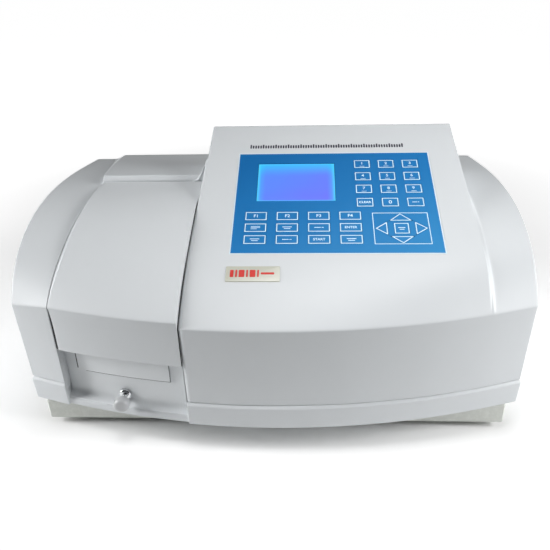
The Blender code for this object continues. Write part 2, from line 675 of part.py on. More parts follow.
def make_lamps(sheet, glass, cast):
    floor = LOWER_Z + WALL + 0.4
    house = add_object("lamp_house", boxes((130, 240, -115, 25, floor, 150)), sheet)
    port = cylinders(((130.0, WHEEL_CENTRE[1], BEAM_Z), 7.0, 20.0), axis="X")
    vents = [(x, x + 6, -130, 40, 125, 142) for x in range(145, 230, 14)]
    cut(house, add_object("lamp_room", boxes((133, 237, -112, 22, floor + 3, 170))),
        add_object("lamp_port", port), add_object("lamp_vents", boxes(*vents)))
    x, y = MIRROR_CENTRE
    bottom = floor + 3.4
    tungsten = ((0, 122), (3, 121), (6.5, 116), (6.5, 96), (5, 92), (9, 91), (9, bottom), (0, bottom))
    turned("tungsten_lamp", tungsten, glass, (x, y - 42, 0))
    deuterium = ((0, 134), (10, 133), (14, 127), (14, 84), (12, 80), (17, 79), (17, bottom),
                 (0, bottom))
    turned("deuterium_lamp", deuterium, glass, (x, y + 44, 0))
    supply = add_object("power_supply", boxes((0, 78, 75, 178, floor, 96)), cast)
    shelf = boxes((-10, 90, 70, 92, 62, 120))
    slots = [(-5, 90, y, y + 4, 70, 88) for y in range(102, 170, 12)]
    cut(supply, add_object("supply_step", shelf), add_object("supply_slots", boxes(*slots)))


# ---------------------------------------------------------------- rear fittings
def make_rear(panel_finish, plastic, switch_finish):
    x, y, z = FAN_CENTRE
    panel = add_object("rear_panel", boxes((66, 284, 208.7, 210.7, 84, 196)), panel_finish)
    grille = []
    for k in range(-4, 5):
        half = math.sqrt(36.0**2 - (8.0 * k) ** 2)
        grille.append((x + 8 * k - 2.5, x + 8 * k + 2.5, 200, 220, z - half, z + half))
    cut(panel, add_object("rear_grille", boxes(*grille)),
        add_object("inlet_hole", boxes((219, 251, 200, 220, 103, 175))))
    ports = boxes((186, 200, 210.0, 213.0, 118, 152), (186, 200, 210.0, 212.6, 160, 172))
    join(panel, add_object("ports", ports))
    frame = add_object("fan_frame", boxes((-40, 40, -11, 11, -40, 40)), plastic, (x, y, z))
    bevel(frame, 3.0, 2, 60)
    spoke = (-39, 39, 7.5, 11, -2.5, 2.5)
    upright = (-2.5, 2.5, 7.5, 11, -39, 39)
    cut(frame, add_object("fan_bore", cylinders(((0, 0, 0), 37.0, 40.0), axis="Y", segments=40),
                          origin=(x, y, z)))
    join(frame, add_object("fan_spoke", boxes(spoke), origin=(x, y, z)),
         add_object("fan_upright", boxes(upright), origin=(x, y, z)),
         add_object("fan_motor", cylinders(((0, 8.0, 0), 14.0, 6.0), axis="Y"), origin=(x, y, z)))
    rotor = add_object("fan_rotor", cylinders(((0, -3.0, 0), 15.0, 14.0), axis="Y"), plastic,
                       (x, y, z), smooth=40)
    blades = bmesh.new()
    for k in range(7):
        turn = Matrix.Rotation(2 * math.pi * k / 7, 4, "Y") @ Matrix.Translation((24.0, -3.0, 0.0))
        turn = turn @ Matrix.Rotation(math.radians(38), 4, "X") @ Matrix.Diagonal((22, 1.6, 15, 1))
        bmesh.ops.create_cube(blades, size=1.0, matrix=turn)
    join(rotor, add_object("fan_blades", blades, origin=(x, y, z)))
    x, y, z = SWITCH_CENTRE
    inlet = add_object("mains_inlet", boxes((x - 22, x + 22, 211.0, 213.2, 99, 179)), plastic)
    body = boxes((x - 15, x + 15, 190.0, 212.0, 104, 174))
    socket = boxes((x - 12, x + 12, 196.0, 230.0, 108, 130),
                   (x - 11, x + 11, 194.0, 230.0, z - 13.5, z + 13.5))
    pins = boxes((x - 1, x + 1, 195.0, 209.0, 122, 127), (x - 8, x - 6, 195.0, 209.0, 113, 118),
                 (x + 6, x + 8, 195.0, 209.0, 113, 118))
    join(inlet, add_object("inlet_body", body))
    cut(inlet, add_object("inlet_socket", socket))
    join(inlet, add_object("inlet_pins", pins))
    rocker = add_object("power_switch", boxes((-9.5, 9.5, -5.0, 2.5, -12.0, 12.0)),
                        switch_finish, (x, y, z), math.radians(-8))
    bevel(rocker, 1.0, 1)


# ---------------------------------------------------------------- assembly
clear_scene()
PARTS = collection("spectrophotometer")
CUTTERS = collection("cutters")

case_grey = finish("case_grey", (0.66, 0.68, 0.69), 0.45)
base_grey = finish("base_grey", (0.45, 0.46, 0.44), 0.5)
rubber = finish("rubber", (0.03, 0.03, 0.03), 0.85)
chrome = finish("chrome", (0.8, 0.8, 0.8), 0.15, 1.0)
pale_plastic = finish("pale_plastic", (0.6, 0.62, 0.63), 0.35)
black_anodised = finish("black_anodised", (0.03, 0.03, 0.035), 0.4, 0.4)
overlay_blue = finish("overlay_blue", (0.03, 0.17, 0.47), 0.35)
key_blue = finish("key_blue", (0.04, 0.2, 0.5), 0.35)
screen = finish("screen", (0.1, 0.2, 0.85), 0.2)
board_green = finish("board_green", (0.03, 0.18, 0.08), 0.5)
cast_metal = finish("cast_metal", (0.35, 0.36, 0.37), 0.5, 0.8)
mirror_metal = finish("mirror_metal", (0.85, 0.85, 0.87), 0.05, 1.0)
lamp_glass = finish("lamp_glass", (0.75, 0.8, 0.82), 0.05)
sheet_steel = finish("sheet_steel", (0.5, 0.51, 0.52), 0.35, 1.0)
black_plastic = finish("black_plastic", (0.02, 0.02, 0.02), 0.45)

make_upper_case(case_grey)
make_lower_case(case_grey)
make_base(base_grey, rubber)
make_lid(case_grey)
make_chamber(case_grey)
make_access_plate(case_grey)
make_cell_slide(chrome, pale_plastic, black_anodised)
make_keypad(overlay_blue, key_blue)
make_electronics(screen, board_green, board_green)
make_optics(cast_metal, mirror_metal, black_anodised)
make_lamps(sheet_steel, lamp_glass, sheet_steel)
make_rear(sheet_steel, black_plastic, black_plastic)
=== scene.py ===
"""Looks of a double-beam bench spectrophotometer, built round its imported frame.

Below come the shader recipes, the finishes made from them, the mesh making, the
form of the case, and then one class for each sub-assembly. Lengths are fields in
millimetres, surfaces are worked out as whole numpy arrays, and meshes are written
in metres. The frame is +Z up, +X along the length and -Y towards the user.
"""

import logging
import math
from dataclasses import dataclass, field
from enum import Enum
from typing import Any, Callable, Iterable, Mapping, Optional, Sequence, Union

import bmesh
import bpy
import numpy as np
from mathutils import Matrix, Vector


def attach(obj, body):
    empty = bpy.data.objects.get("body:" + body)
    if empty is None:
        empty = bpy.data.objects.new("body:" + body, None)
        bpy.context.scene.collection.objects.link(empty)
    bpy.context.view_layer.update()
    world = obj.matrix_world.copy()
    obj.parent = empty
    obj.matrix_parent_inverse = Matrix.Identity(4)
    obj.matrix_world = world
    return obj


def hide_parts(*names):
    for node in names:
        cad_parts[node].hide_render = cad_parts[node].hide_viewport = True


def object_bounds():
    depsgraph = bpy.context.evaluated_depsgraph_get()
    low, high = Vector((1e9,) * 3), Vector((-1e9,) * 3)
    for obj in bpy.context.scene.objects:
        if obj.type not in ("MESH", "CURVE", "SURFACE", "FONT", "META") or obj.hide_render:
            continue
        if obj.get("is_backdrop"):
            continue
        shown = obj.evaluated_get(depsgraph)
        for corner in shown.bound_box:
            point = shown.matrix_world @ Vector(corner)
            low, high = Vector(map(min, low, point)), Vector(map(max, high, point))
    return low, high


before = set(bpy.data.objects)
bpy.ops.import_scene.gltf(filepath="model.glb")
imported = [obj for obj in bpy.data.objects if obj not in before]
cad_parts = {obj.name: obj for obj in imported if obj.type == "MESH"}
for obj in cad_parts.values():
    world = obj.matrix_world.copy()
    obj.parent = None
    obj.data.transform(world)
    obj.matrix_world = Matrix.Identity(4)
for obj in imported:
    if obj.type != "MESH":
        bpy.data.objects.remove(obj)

MM = 0.001
log = logging.getLogger("spectrophotometer")
Array = np.ndarray
Colour = tuple[float, float, float]
Value = Union["Signal", float, int, tuple]
Patch = tuple[Array, Optional[Array]]
Profile = Sequence[tuple[Optional[float], float]]
Corners = Sequence[tuple[float, float]]


# ------------------------------------------------------------------ materials
class Signal:
    """A shader value on its way through a material; arithmetic adds Math nodes."""

    def __init__(self, recipe: "Recipe", socket: bpy.types.NodeSocket) -> None:
        """Keeps the output socket and the recipe that owns its node tree."""
        self.recipe, self.socket = recipe, socket

    def _math(self, operation: str, first: Value, second: Value) -> "Signal":
        """Adds one Math node on two values and returns its result."""
        return self.recipe.node("ShaderNodeMath", {"operation": operation}, {0: first, 1: second})

    def __add__(self, other: Value) -> "Signal":
        """Sum."""
        return self._math("ADD", self, other)

    __radd__ = __add__

    def __mul__(self, other: Value) -> "Signal":
        """Product."""
        return self._math("MULTIPLY", self, other)

    __rmul__ = __mul__

    def __sub__(self, other: Value) -> "Signal":
        """Difference."""
        return self._math("SUBTRACT", self, other)

    def __rsub__(self, other: Value) -> "Signal":
        """Difference from a plain number."""
        return self._math("SUBTRACT", other, self)

    def __truediv__(self, other: Value) -> "Signal":
        """Quotient."""
        return self._math("DIVIDE", self, other)

    def __pow__(self, other: Value) -> "Signal":
        """Power."""
        return self._math("POWER", self, other)

    def clip(self) -> "Signal":
        """The value held between 0 and 1."""
        return self.recipe.node("ShaderNodeClamp", {}, {0: self})


class Recipe:
    """One material under construction, on a Principled shader."""

    def __init__(self, name: str) -> None:
        """Starts a node material of that name."""
        self.material = bpy.data.materials.new(name)
        self.material.use_nodes = True
        self.tree = self.material.node_tree
        self.shader = self.tree.nodes["Principled BSDF"]

    def put(self, target: bpy.types.NodeSocket, value: Value) -> None:
        """Links a signal to a socket, or sets a plain number or colour on it."""
        if isinstance(value, Signal):
            self.tree.links.new(value.socket, target)
        elif isinstance(value, tuple) and len(value) == 3 and target.type == "RGBA":
            target.default_value = (*value, 1.0)
        else:
            target.default_value = value

    def node(self, kind: str, settings: Mapping[str, Any], inputs: Mapping[Union[int, str], Value],
             out: Union[int, str] = 0) -> Signal:
        """Adds a node of any type.

        Args:
            kind: the node's type name.
            settings: its properties, set first; "stops" fills a colour ramp.
            inputs: values or links, by socket name or number.
            out: the output that is handed back.

        Returns:
            The chosen output as a signal.
        """
        made = self.tree.nodes.new(kind)
        for key, value in settings.items():
            if key == "stops":
                self._fill(made.color_ramp, value)
            else:
                setattr(made, key, value)
        for key, value in inputs.items():
            self.put(made.inputs[key], value)
        return Signal(self, made.outputs[out])

    @staticmethod
    def _fill(ramp: bpy.types.ColorRamp, stops: Sequence[tuple[float, Colour]]) -> None:
        """Writes (place, colour) stops into a ramp."""
        while len(ramp.elements) < len(stops):
            ramp.elements.new(0.5)
        for element, (place, colour) in zip(ramp.elements, stops):
            element.position = place
            element.color = (*colour, 1.0)

    def place(self) -> Signal:
        """Object coordinates, in metres."""
        return self.node("ShaderNodeTexCoord", {}, {}, out="Object")

    def axis(self, where: Signal, name: str) -> Signal:
        """One coordinate of a place: X, Y or Z."""
        return self.node("ShaderNodeSeparateXYZ", {}, {0: where}, out=name)

    def noise(self, where: Signal, scale: float, detail: float = 2.0, rough: float = 0.5) -> Signal:
        """Soft noise between 0 and 1 with that many features to the metre."""
        return self.node("ShaderNodeTexNoise", {}, {
            "Vector": where, "Scale": scale, "Detail": detail, "Roughness": rough})

    def stretched(self, where: Signal, factors: tuple[float, float, float]) -> Signal:
        """A place with each axis multiplied by its factor."""
        return self.node("ShaderNodeMapping", {}, {"Vector": where, "Scale": factors})

    def mix(self, amount: Value, first: Value, second: Value) -> Signal:
        """Colour between first and second by amount."""
        return self.node("ShaderNodeMix", {"data_type": "RGBA"}, {0: amount, 6: first, 7: second}, out=2)

    def bump(self, height: Signal, distance: float, strength: float) -> Signal:
        """Bump of a height field that is that many metres high."""
        return self.node("ShaderNodeBump", {}, {"Height": height, "Distance": distance, "Strength": strength})

    def finish(self, values: Mapping[str, Value]) -> bpy.types.Material:
        """Sets the shader's sockets and hands the material over."""
        for key, value in values.items():
            self.put(self.shader.inputs[key], value)
        return self.material


@dataclass(frozen=True)
class MouldedPlastic:
    """Injection-moulded housing plastic: spark-eroded grain, slow drift of tone."""

    name: str
    colour: Colour
    shade: Colour
    roughness: float = 0.42
    grain: float = 1500.0
    depth: float = 0.00005
    coat: float = 0.0

    def dress(self) -> bpy.types.Material:
        """Tone drifts with slow noise; a fine grain gives bump and roughness."""
        r = Recipe(self.name)
        where = r.place()
        drift = r.noise(where, 5.0, 2.0)
        cloud = r.noise(where, 38.0, 3.0)
        grain = r.noise(where, self.grain, 2.0, 0.6)
        fleck = ((r.noise(where, self.grain * 0.45, 1.0) - 0.62) * 6.0).clip()
        tone = (drift * 0.75 + cloud * 0.25 - 0.25).clip() + fleck * 0.10
        colour = r.mix(tone, self.colour, self.shade)
        rough = grain * 0.10 + cloud * 0.06 + (self.roughness - 0.08)
        normal = r.bump(grain, self.depth, 0.5)
        return r.finish({"Base Color": colour, "Roughness": rough, "Normal": normal,
                         "IOR": 1.5, "Coat Weight": self.coat, "Coat Roughness": 0.2})


@dataclass(frozen=True)
class Metal:
    """Bare or plated metal with fine lines from the tool along one axis."""

    name: str
    colour: Colour
    dark: Colour
    roughness: float = 0.3
    lines: tuple[float, float, float] = (40.0, 900.0, 900.0)
    depth: float = 0.00002
    metallic: float = 1.0

    def dress(self) -> bpy.types.Material:
        """Stretched noise gives the lines, a slower one the handling marks."""
        r = Recipe(self.name)
        where = r.place()
        line = r.noise(r.stretched(where, self.lines), 1.0, 3.0)
        marks = r.noise(where, 60.0, 4.0, 0.65)
        colour = r.mix((line * 0.5 + marks * 0.5).clip(), self.colour, self.dark)
        rough = line * 0.12 + marks * 0.10 + (self.roughness - 0.1)
        return r.finish({"Base Color": colour, "Roughness": rough, "Metallic": self.metallic,
                         "Normal": r.bump(line, self.depth, 0.4)})


@dataclass(frozen=True)
class Castings:
    """Sand-cast or powder-coated metal: an orange-peel skin with darker pits."""

    name: str
    colour: Colour
    dark: Colour
    roughness: float = 0.55
    metallic: float = 0.6
    peel: float = 420.0
    depth: float = 0.00025

    def dress(self) -> bpy.types.Material:
        """Cell noise gives the peel, soft noise the pits."""
        r = Recipe(self.name)
        where = r.place()
        peel = r.node("ShaderNodeTexVoronoi", {"feature": "SMOOTH_F1"},
                      {"Vector": where, "Scale": self.peel, "Smoothness": 0.7})
        pits = r.noise(where, 160.0, 4.0, 0.6)
        colour = r.mix(((pits - 0.42) * 3.0).clip(), self.dark, self.colour)
        return r.finish({"Base Color": colour, "Roughness": pits * 0.2 + (self.roughness - 0.1),
                         "Metallic": self.metallic, "Normal": r.bump(peel, self.depth, 0.5)})


@dataclass(frozen=True)
class Rubber:
    """Matt moulded rubber with a dusty bloom."""

    name: str = "foot_rubber"

    def dress(self) -> bpy.types.Material:
        """Fine pores in the bump, a pale bloom where slow noise is high."""
        r = Recipe(self.name)
        where = r.place()
        pores, bloom = r.noise(where, 1300.0, 3.0), r.noise(where, 70.0, 4.0, 0.6)
        colour = r.mix(((bloom - 0.4) * 2.0).clip(), (0.018, 0.018, 0.019), (0.06, 0.06, 0.058))
        return r.finish({"Base Color": colour, "Roughness": bloom * 0.2 + 0.68,
                         "Normal": r.bump(pores, 0.0001, 0.6)})


@dataclass(frozen=True)
class FilmWithPaintedLight:
    """Polyester keypad film printed on its back; its paleness towards the near right is painted light."""

    name: str
    deep: Colour
    mid: Colour
    pale: Colour
    centre: tuple[float, float] = (77.0, -40.0)
    reach: tuple[float, float] = (130.0, 90.0)
    roughness: float = 0.46

    def dress(self) -> bpy.types.Material:
        """Painted light: the tone grows paler along x and towards the near edge of the film; a velvet grain
        breaks the gloss.
        """
        r = Recipe(self.name)
        where = r.place()
        # painted light: along and near make the blue paler towards the near right, where the lamps fall
        # brightest
        along = (r.axis(where, "X") - self.centre[0] * MM) / (self.reach[0] * MM)
        near = (self.centre[1] * MM - r.axis(where, "Y")) / (self.reach[1] * MM)
        tone = (along * 0.26 + near * 0.34 + 0.45 + (r.noise(where, 9.0) - 0.5) * 0.16).clip()
        colour = r.node("ShaderNodeValToRGB", {"stops": (
            (0.0, self.deep), (0.5, self.mid), (1.0, self.pale))}, {0: tone})
        velvet = r.noise(where, 2600.0, 2.0, 0.6)
        smear = r.noise(where, 55.0, 3.0)
        rough = velvet * 0.1 + smear * 0.12 + (self.roughness - 0.1)
        return r.finish({"Base Color": colour, "Roughness": rough,
                         "Normal": r.bump(velvet, 0.00003, 0.5), "Specular IOR Level": 0.22})


@dataclass(frozen=True)
class Ink:
    """Screen-printed ink: dense, very slightly uneven at the mesh of the screen."""

    name: str
    colour: Colour
    thin: Colour
    roughness: float = 0.45

    def dress(self) -> bpy.types.Material:
        """Two noises thin the ink; the weave of the printing screen is its bump."""
        r = Recipe(self.name)
        where = r.place()
        uneven = r.noise(where, 700.0, 3.0)
        weave = r.noise(where, 3000.0, 1.0)
        colour = r.mix(((uneven - 0.45) * 1.6).clip(), self.colour, self.thin)
        return r.finish({"Base Color": colour, "Roughness": weave * 0.1 + self.roughness,
                         "Normal": r.bump(weave, 0.00002, 0.4)})


@dataclass(frozen=True)
class LitDisplay:
    """Backlit liquid-crystal display: cyan light leaks in at the edges."""

    name: str = "lit_display"
    columns: tuple[float, float] = (-19.6, 78.6)
    rows: tuple[float, float] = (-43.0, 22.5)
    dots: float = 210.0

    def dress(self) -> bpy.types.Material:
        """Colour runs from cyan at the rim to violet inside; dot rows dim it."""
        r = Recipe(self.name)
        where = r.place()
        x, y = r.axis(where, "X"), r.axis(where, "Y")
        across, up = ((value - first * MM) / ((last - first) * MM)
                      for value, (first, last) in ((x, self.columns), (y, self.rows)))
        side = 1.0 - ((across * (1.0 - across)) * 11.0).clip() ** 0.7
        top = ((up - 0.66) / 0.30).clip() ** 1.4
        foot = (0.06 - up).clip() * 6.0
        rim = (side * 0.75 + top * 0.85 + foot).clip()
        warm = ((across - 0.15) * 0.5 + (0.75 - up) * 0.45 + r.noise(where, 30.0) * 0.25).clip()
        inner = r.mix(warm, (0.085, 0.26, 0.98), (0.17, 0.14, 0.95))
        glow = r.mix(rim, inner, (0.035, 0.53, 1.0))
        inside = ((across * (1.0 - across)) * 26.0).clip() * ((up * (1.0 - up)) * 24.0).clip()
        colour = r.mix((1.0 - inside) * 0.8, glow, (0.09, 0.72, 1.0))
        first, second = (r.node("ShaderNodeTexWave", {"wave_type": "BANDS", "bands_direction": way},
                                {"Vector": where, "Scale": self.dots}) for way in ("X", "Y"))
        dots = first * 0.5 + second * 0.5
        light = r.mix(dots * 0.05, colour, (0.02, 0.08, 0.6))
        return r.finish({"Base Color": (0.01, 0.03, 0.12), "Roughness": dots * 0.05 + 0.3,
                         "Emission Color": light, "Emission Strength": 1.0})


@dataclass(frozen=True)
class CircuitBoard:
    """Solder mask with tracks and pads showing through it."""

    name: str = "solder_mask"

    def dress(self) -> bpy.types.Material:
        """Brick joints stand for tracks, soft noise for poured copper under the mask."""
        r = Recipe(self.name)
        where = r.place()
        runs = r.node("ShaderNodeTexBrick", {}, {
            "Vector": where, "Scale": 220.0, "Mortar Size": 0.03,
            "Color1": (0.02, 0.13, 0.06), "Color2": (0.015, 0.10, 0.045), "Mortar": (0.07, 0.26, 0.10)})
        pour = r.noise(where, 90.0, 3.0)
        colour = r.mix((pour - 0.3).clip(), runs, (0.01, 0.07, 0.03))
        return r.finish({"Base Color": colour, "Roughness": pour * 0.2 + 0.3,
                         "Normal": r.bump(r.noise(where, 500.0), 0.0001, 0.4)})


@dataclass(frozen=True)
class FusedGlass:
    """Pale lamp glass with faint blow lines."""

    name: str = "fused_glass"

    def dress(self) -> bpy.types.Material:
        """Slow noise clouds the wall, stretched noise draws the blow lines."""
        r = Recipe(self.name)
        where = r.place()
        cloud = r.noise(where, 45.0, 3.0)
        lines = r.noise(r.stretched(where, (300.0, 300.0, 40.0)), 1.0)
        return r.finish({"Base Color": r.mix(cloud, (0.78, 0.84, 0.86), (0.55, 0.62, 0.64)),
                         "Roughness": lines * 0.08 + 0.03, "Metallic": cloud * 0.2,
                         "Normal": r.bump(lines, 0.0001, 0.3), "Coat Weight": cloud * 0.3 + 0.5})


class Finish(Enum):
    """Every finish on the instrument, each made once."""

    CASE = MouldedPlastic("case_plastic", (0.585, 0.608, 0.625), (0.545, 0.569, 0.586), 0.44)
    BAY = MouldedPlastic("bay_plastic", (0.46, 0.48, 0.485), (0.42, 0.44, 0.445), 0.5)
    # painted light: a lighter copy of the case plastic that makes up for the shade of the recess on the plate
    # and the door
    PLATE = MouldedPlastic("plate_plastic_painted_light", (0.70, 0.725, 0.742), (0.65, 0.675, 0.692), 0.46)
    BASE = Castings("base_paint", (0.68, 0.70, 0.66), (0.60, 0.62, 0.58), 0.55, 0.0, 700.0, 0.0001)
    RUBBER = Rubber()
    CHROME = Metal("bright_chrome", (0.80, 0.81, 0.82), (0.62, 0.63, 0.64), 0.13)
    KNOB = MouldedPlastic(
        "knob_plastic", (0.41, 0.42, 0.43), (0.35, 0.36, 0.37), 0.34, 2200.0, 0.00003, 0.3)
    ANODISED = Metal("black_anodised", (0.03, 0.03, 0.034), (0.016, 0.016, 0.018), 0.45, metallic=0.5)
    # both films carry painted light: paler towards the near right
    FILM = FilmWithPaintedLight("keypad_film", (0.004, 0.118, 0.345), (0.008, 0.155, 0.41), (0.022, 0.215, 0.48))
    KEY = FilmWithPaintedLight("key_film", (0.005, 0.122, 0.355), (0.009, 0.16, 0.42), (0.025, 0.22, 0.49))
    WHITE_INK = Ink("white_ink", (0.60, 0.80, 0.90), (0.46, 0.70, 0.84))
    # painted highlight: the pale line stands for light caught on the film's cut edge
    EDGE = Ink("film_edge_highlight", (0.60, 0.72, 0.78), (0.52, 0.64, 0.70))
    DARK_INK = Ink("dark_ink", (0.012, 0.013, 0.03), (0.04, 0.04, 0.07))
    RED_INK = Ink("red_ink", (0.56, 0.018, 0.010), (0.48, 0.03, 0.02))
    BADGE = MouldedPlastic(
        "badge_film", (0.50, 0.505, 0.43), (0.45, 0.455, 0.39), 0.35, 2000.0, 0.00002, 0.4)
    # painted shade: black for the shadowed shut gaps round the lid and the door
    LINE = MouldedPlastic("gap_shade_black", (0.02, 0.021, 0.022), (0.012, 0.012, 0.013), 0.7)
    DISPLAY = LitDisplay()
    BOARD = CircuitBoard()
    CAST = Castings("cast_alloy", (0.42, 0.43, 0.44), (0.30, 0.31, 0.32))
    MIRROR = Metal(
        "first_surface_mirror", (0.93, 0.93, 0.95), (0.88, 0.88, 0.9), 0.1, (400.0, 400.0, 400.0), 0.000005)
    GLASS = FusedGlass()
    STEEL = Metal("zinc_plated_steel", (0.62, 0.63, 0.64), (0.50, 0.51, 0.53), 0.38, (30.0, 700.0, 60.0))
    BLACK = MouldedPlastic(
        "black_moulding", (0.022, 0.022, 0.024), (0.014, 0.014, 0.015), 0.45, 1100.0, 0.00008)

    @property
    def material(self) -> bpy.types.Material:
        """The finish's material, built on first use."""
        found = bpy.data.materials.get(self.value.name)
        return found or self.value.dress()


# ------------------------------------------------------------------ mesh making
def step(amount: Array) -> Array:
    """Smooth step: 3t^2 - 2t^3 with t held between 0 and 1."""
    t = np.clip(amount, 0.0, 1.0)
    return t * t * (3.0 - 2.0 * t)


def lerp(pair: tuple[Any, Any], amount: Array) -> Array:
    """Straight line from the first number to the second."""
    return pair[0] + (pair[1] - pair[0]) * amount


def weld(patches: Iterable[Patch]) -> tuple[Array, list[list[int]]]:
    """Joins grids of points into one mesh.

    Each patch is (grid of shape (n, m, 3), mask of the (n-1, m-1) cells to keep or
    None). Points closer than a micrometre are one point, a cell that has lost a
    corner becomes a triangle, and one that has lost two is dropped.

    Returns:
        The points, and the corners of each face.
    """
    points, cells, start = [], [], 0
    for grid, keep in patches:
        n, m = grid.shape[:2]
        index = start + np.arange(n * m).reshape(n, m)
        quad = np.stack([index[:-1, :-1], index[1:, :-1], index[1:, 1:], index[:-1, 1:]], axis=-1)
        cells.append((quad if keep is None else quad[keep]).reshape(-1, 4))
        points.append(grid.reshape(-1, 3))
        start += n * m
    every, corners = np.concatenate(points), np.concatenate(cells)
    _, first, place = np.unique(np.round(every * 1000.0).astype(np.int64), axis=0,
                                return_index=True, return_inverse=True)
    corners = place.reshape(-1)[corners]
    same = corners == np.roll(corners, 1, axis=1)
    lost = same.sum(axis=1)
    quads = corners[lost == 0]
    quads = quads[(quads[:, 0] != quads[:, 2]) & (quads[:, 1] != quads[:, 3])]
    triangles = corners[lost == 1][~same[lost == 1]].reshape(-1, 3)
    used, packed = np.unique(np.concatenate([quads.reshape(-1), triangles.reshape(-1)]), return_inverse=True)
    packed = packed.reshape(-1)
    split = quads.size
    faces = packed[:split].reshape(-1, 4).tolist() + packed[split:].reshape(-1, 3).tolist()
    return every[first][used], faces


class Piece:
    """One finished mesh object: built from points, dressed and hung on a body."""

    def __init__(self, name: str, points: Array, faces: Sequence[Sequence[int]],
                 *finishes: Finish, smooth: bool = True, inside_out: bool = False,
                 towards: Optional[Sequence[float]] = None) -> None:
        """Makes the mesh, in metres, with its faces turned outwards.

        Args:
            name: the piece's name.
            points: (n, 3) in millimetres.
            faces: corner numbers.
            finishes: material slots in order.
            smooth: smooth shading.
            inside_out: True for a room seen from within.
            towards: the way an open sheet faces, in place of away from its middle.
        """
        mesh = bpy.data.meshes.new(name)
        mesh.from_pydata((np.asarray(points, float) * MM).tolist(), [], [list(f) for f in faces])
        bm = bmesh.new()
        bm.from_mesh(mesh)
        bmesh.ops.recalc_face_normals(bm, faces=bm.faces)
        middle = sum((v.co for v in bm.verts), Vector()) / max(len(bm.verts), 1)
        ahead = Vector(towards) if towards else None
        outwards = sum(f.normal.dot(ahead or f.calc_center_median() - middle) * f.calc_area()
                       for f in bm.faces)
        if (outwards < 0) != inside_out:
            bmesh.ops.reverse_faces(bm, faces=bm.faces)
        bm.to_mesh(mesh)
        bm.free()
        for finish in finishes:
            mesh.materials.append(finish.material)
        if smooth:
            mesh.shade_smooth()
        self.object = bpy.data.objects.new(name, mesh)
        bpy.context.scene.collection.objects.link(self.object)

    def keep_edges(self, angle: float = 28.0) -> "Piece":
        """Marks every edge that turns by more than angle as sharp."""
        self.object.data.set_sharp_from_angle(angle=math.radians(angle))
        return self

    def soften(self, levels: int = 2) -> "Piece":
        """Adds subdivision that keeps open corners square."""
        made = self.object.modifiers.new("Subdivision", "SUBSURF")
        made.levels = made.render_levels = levels
        made.boundary_smooth = "PRESERVE_CORNERS"
        return self

    def thicken(self, wall: float, offset: float = -1.0) -> "Piece":
        """Adds a wall of that many millimetres behind the surface."""
        made = self.object.modifiers.new("Solidify", "SOLIDIFY")
        made.thickness, made.offset = wall * MM, offset
        return self

    def hang(self, body: str, slot: str, *nodes: str) -> "Piece":
        """Rides on a body and hides the CAD nodes that it stands for."""
        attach(self.object, body)
        if nodes:
            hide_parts(*nodes)
        log.info("%s on %s: %d faces", self.object.name, body, len(self.object.data.polygons))
        return self


def sheet_piece(name: str, patches: Iterable[Patch], finish: Finish,
                inside_out: bool = False, towards: Optional[Sequence[float]] = None) -> Piece:
    """A piece from welded patches in one finish."""
    points, faces = weld(patches)
    return Piece(name, points, faces, finish, inside_out=inside_out, towards=towards)


def turned_grid(profile: Corners, centre: Sequence[float], axis: str, steps: int) -> Array:
    """A profile of (radius, height) spun about an axis through centre.

    Formula: each profile point goes round a circle of its radius, at its height
    along the axis.
    """
    shape = np.asarray(profile, float)
    angle = np.linspace(0.0, 2.0 * np.pi, steps + 1)
    angle[-1] = 0.0
    radius, height = shape[:, :1], shape[:, 1:] + 0.0 * angle
    first, second = radius * np.cos(angle), radius * np.sin(angle)
    order = {"Y": (first, height, second), "X": (height, first, second)}
    return np.stack(order[axis], axis=-1) + np.asarray(centre, float)


def turned_piece(name: str, profile: Corners, centre: Sequence[float], finish: Finish,
                 axis: str, steps: int) -> Piece:
    """A closed turned piece."""
    return sheet_piece(name, [(turned_grid(profile, centre, axis, steps), None)], finish)


def rounded_outline(corners: Corners, radius: float, inset: float = 0.0, arc: int = 4) -> Array:
    """Convex outline with rounded corners, moved inwards by inset.

    Formula: each side moves inwards along its normal, two neighbours meet at a new
    corner, and an arc that touches both sides takes the corner off.
    """
    here = np.asarray(corners, float)
    turn = np.sign(np.sum(here[:, 0] * np.roll(here[:, 1], -1) - np.roll(here[:, 0], -1) * here[:, 1]))
    here = here if turn > 0 else here[::-1]
    after = np.roll(here, -1, axis=0) - here
    after /= np.linalg.norm(after, axis=1, keepdims=True)
    inward = np.stack([-after[:, 1], after[:, 0]], axis=1)
    inward_before = np.roll(inward, 1, axis=0)
    both = inward + inward_before
    both /= np.sum(both * inward, axis=1, keepdims=True)
    reach = max(radius - inset, 0.05)
    centre = here + both * (inset + reach)
    share = np.linspace(0.0, 1.0, arc)[None, :, None]
    spoke = -(inward_before[:, None] * (1 - share) + inward[:, None] * share)
    spoke /= np.linalg.norm(spoke, axis=2, keepdims=True)
    return (centre[:, None] + spoke * reach).reshape(-1, 2)


def rectangle(x0: float, x1: float, v0: float, v1: float) -> Corners:
    """Corners of a rectangle between two x and two v, in order round it."""
    return (x0, v0), (x1, v0), (x1, v1), (x0, v1)


def ring_stack(corners: Corners, radius: float, profile: Profile, place: Callable[..., Array],
               arc: int = 4) -> Array:
    """Closed solid over an outline, as a grid of rings.

    Formula: every ring is the outline moved inwards by the profile's inset and put at
    its height; where the inset is None the ring closes on the outline's middle.

    Args:
        corners: the outline's corners, before they are rounded.
        radius: of those corners.
        profile: (inset, height) of each ring.
        place: gives the world place of (x, v, height).
        arc: points on each rounded corner.
    """
    stack = []
    for inset, height in profile:
        flat = rounded_outline(corners, radius, inset or 0.0, arc)
        if inset is None:
            flat = np.zeros_like(flat) + np.mean(np.asarray(corners, float), axis=0)
        flat = np.concatenate([flat, flat[:1]])
        stack.append(place(flat[:, 0], flat[:, 1], height))
    return np.stack(stack)


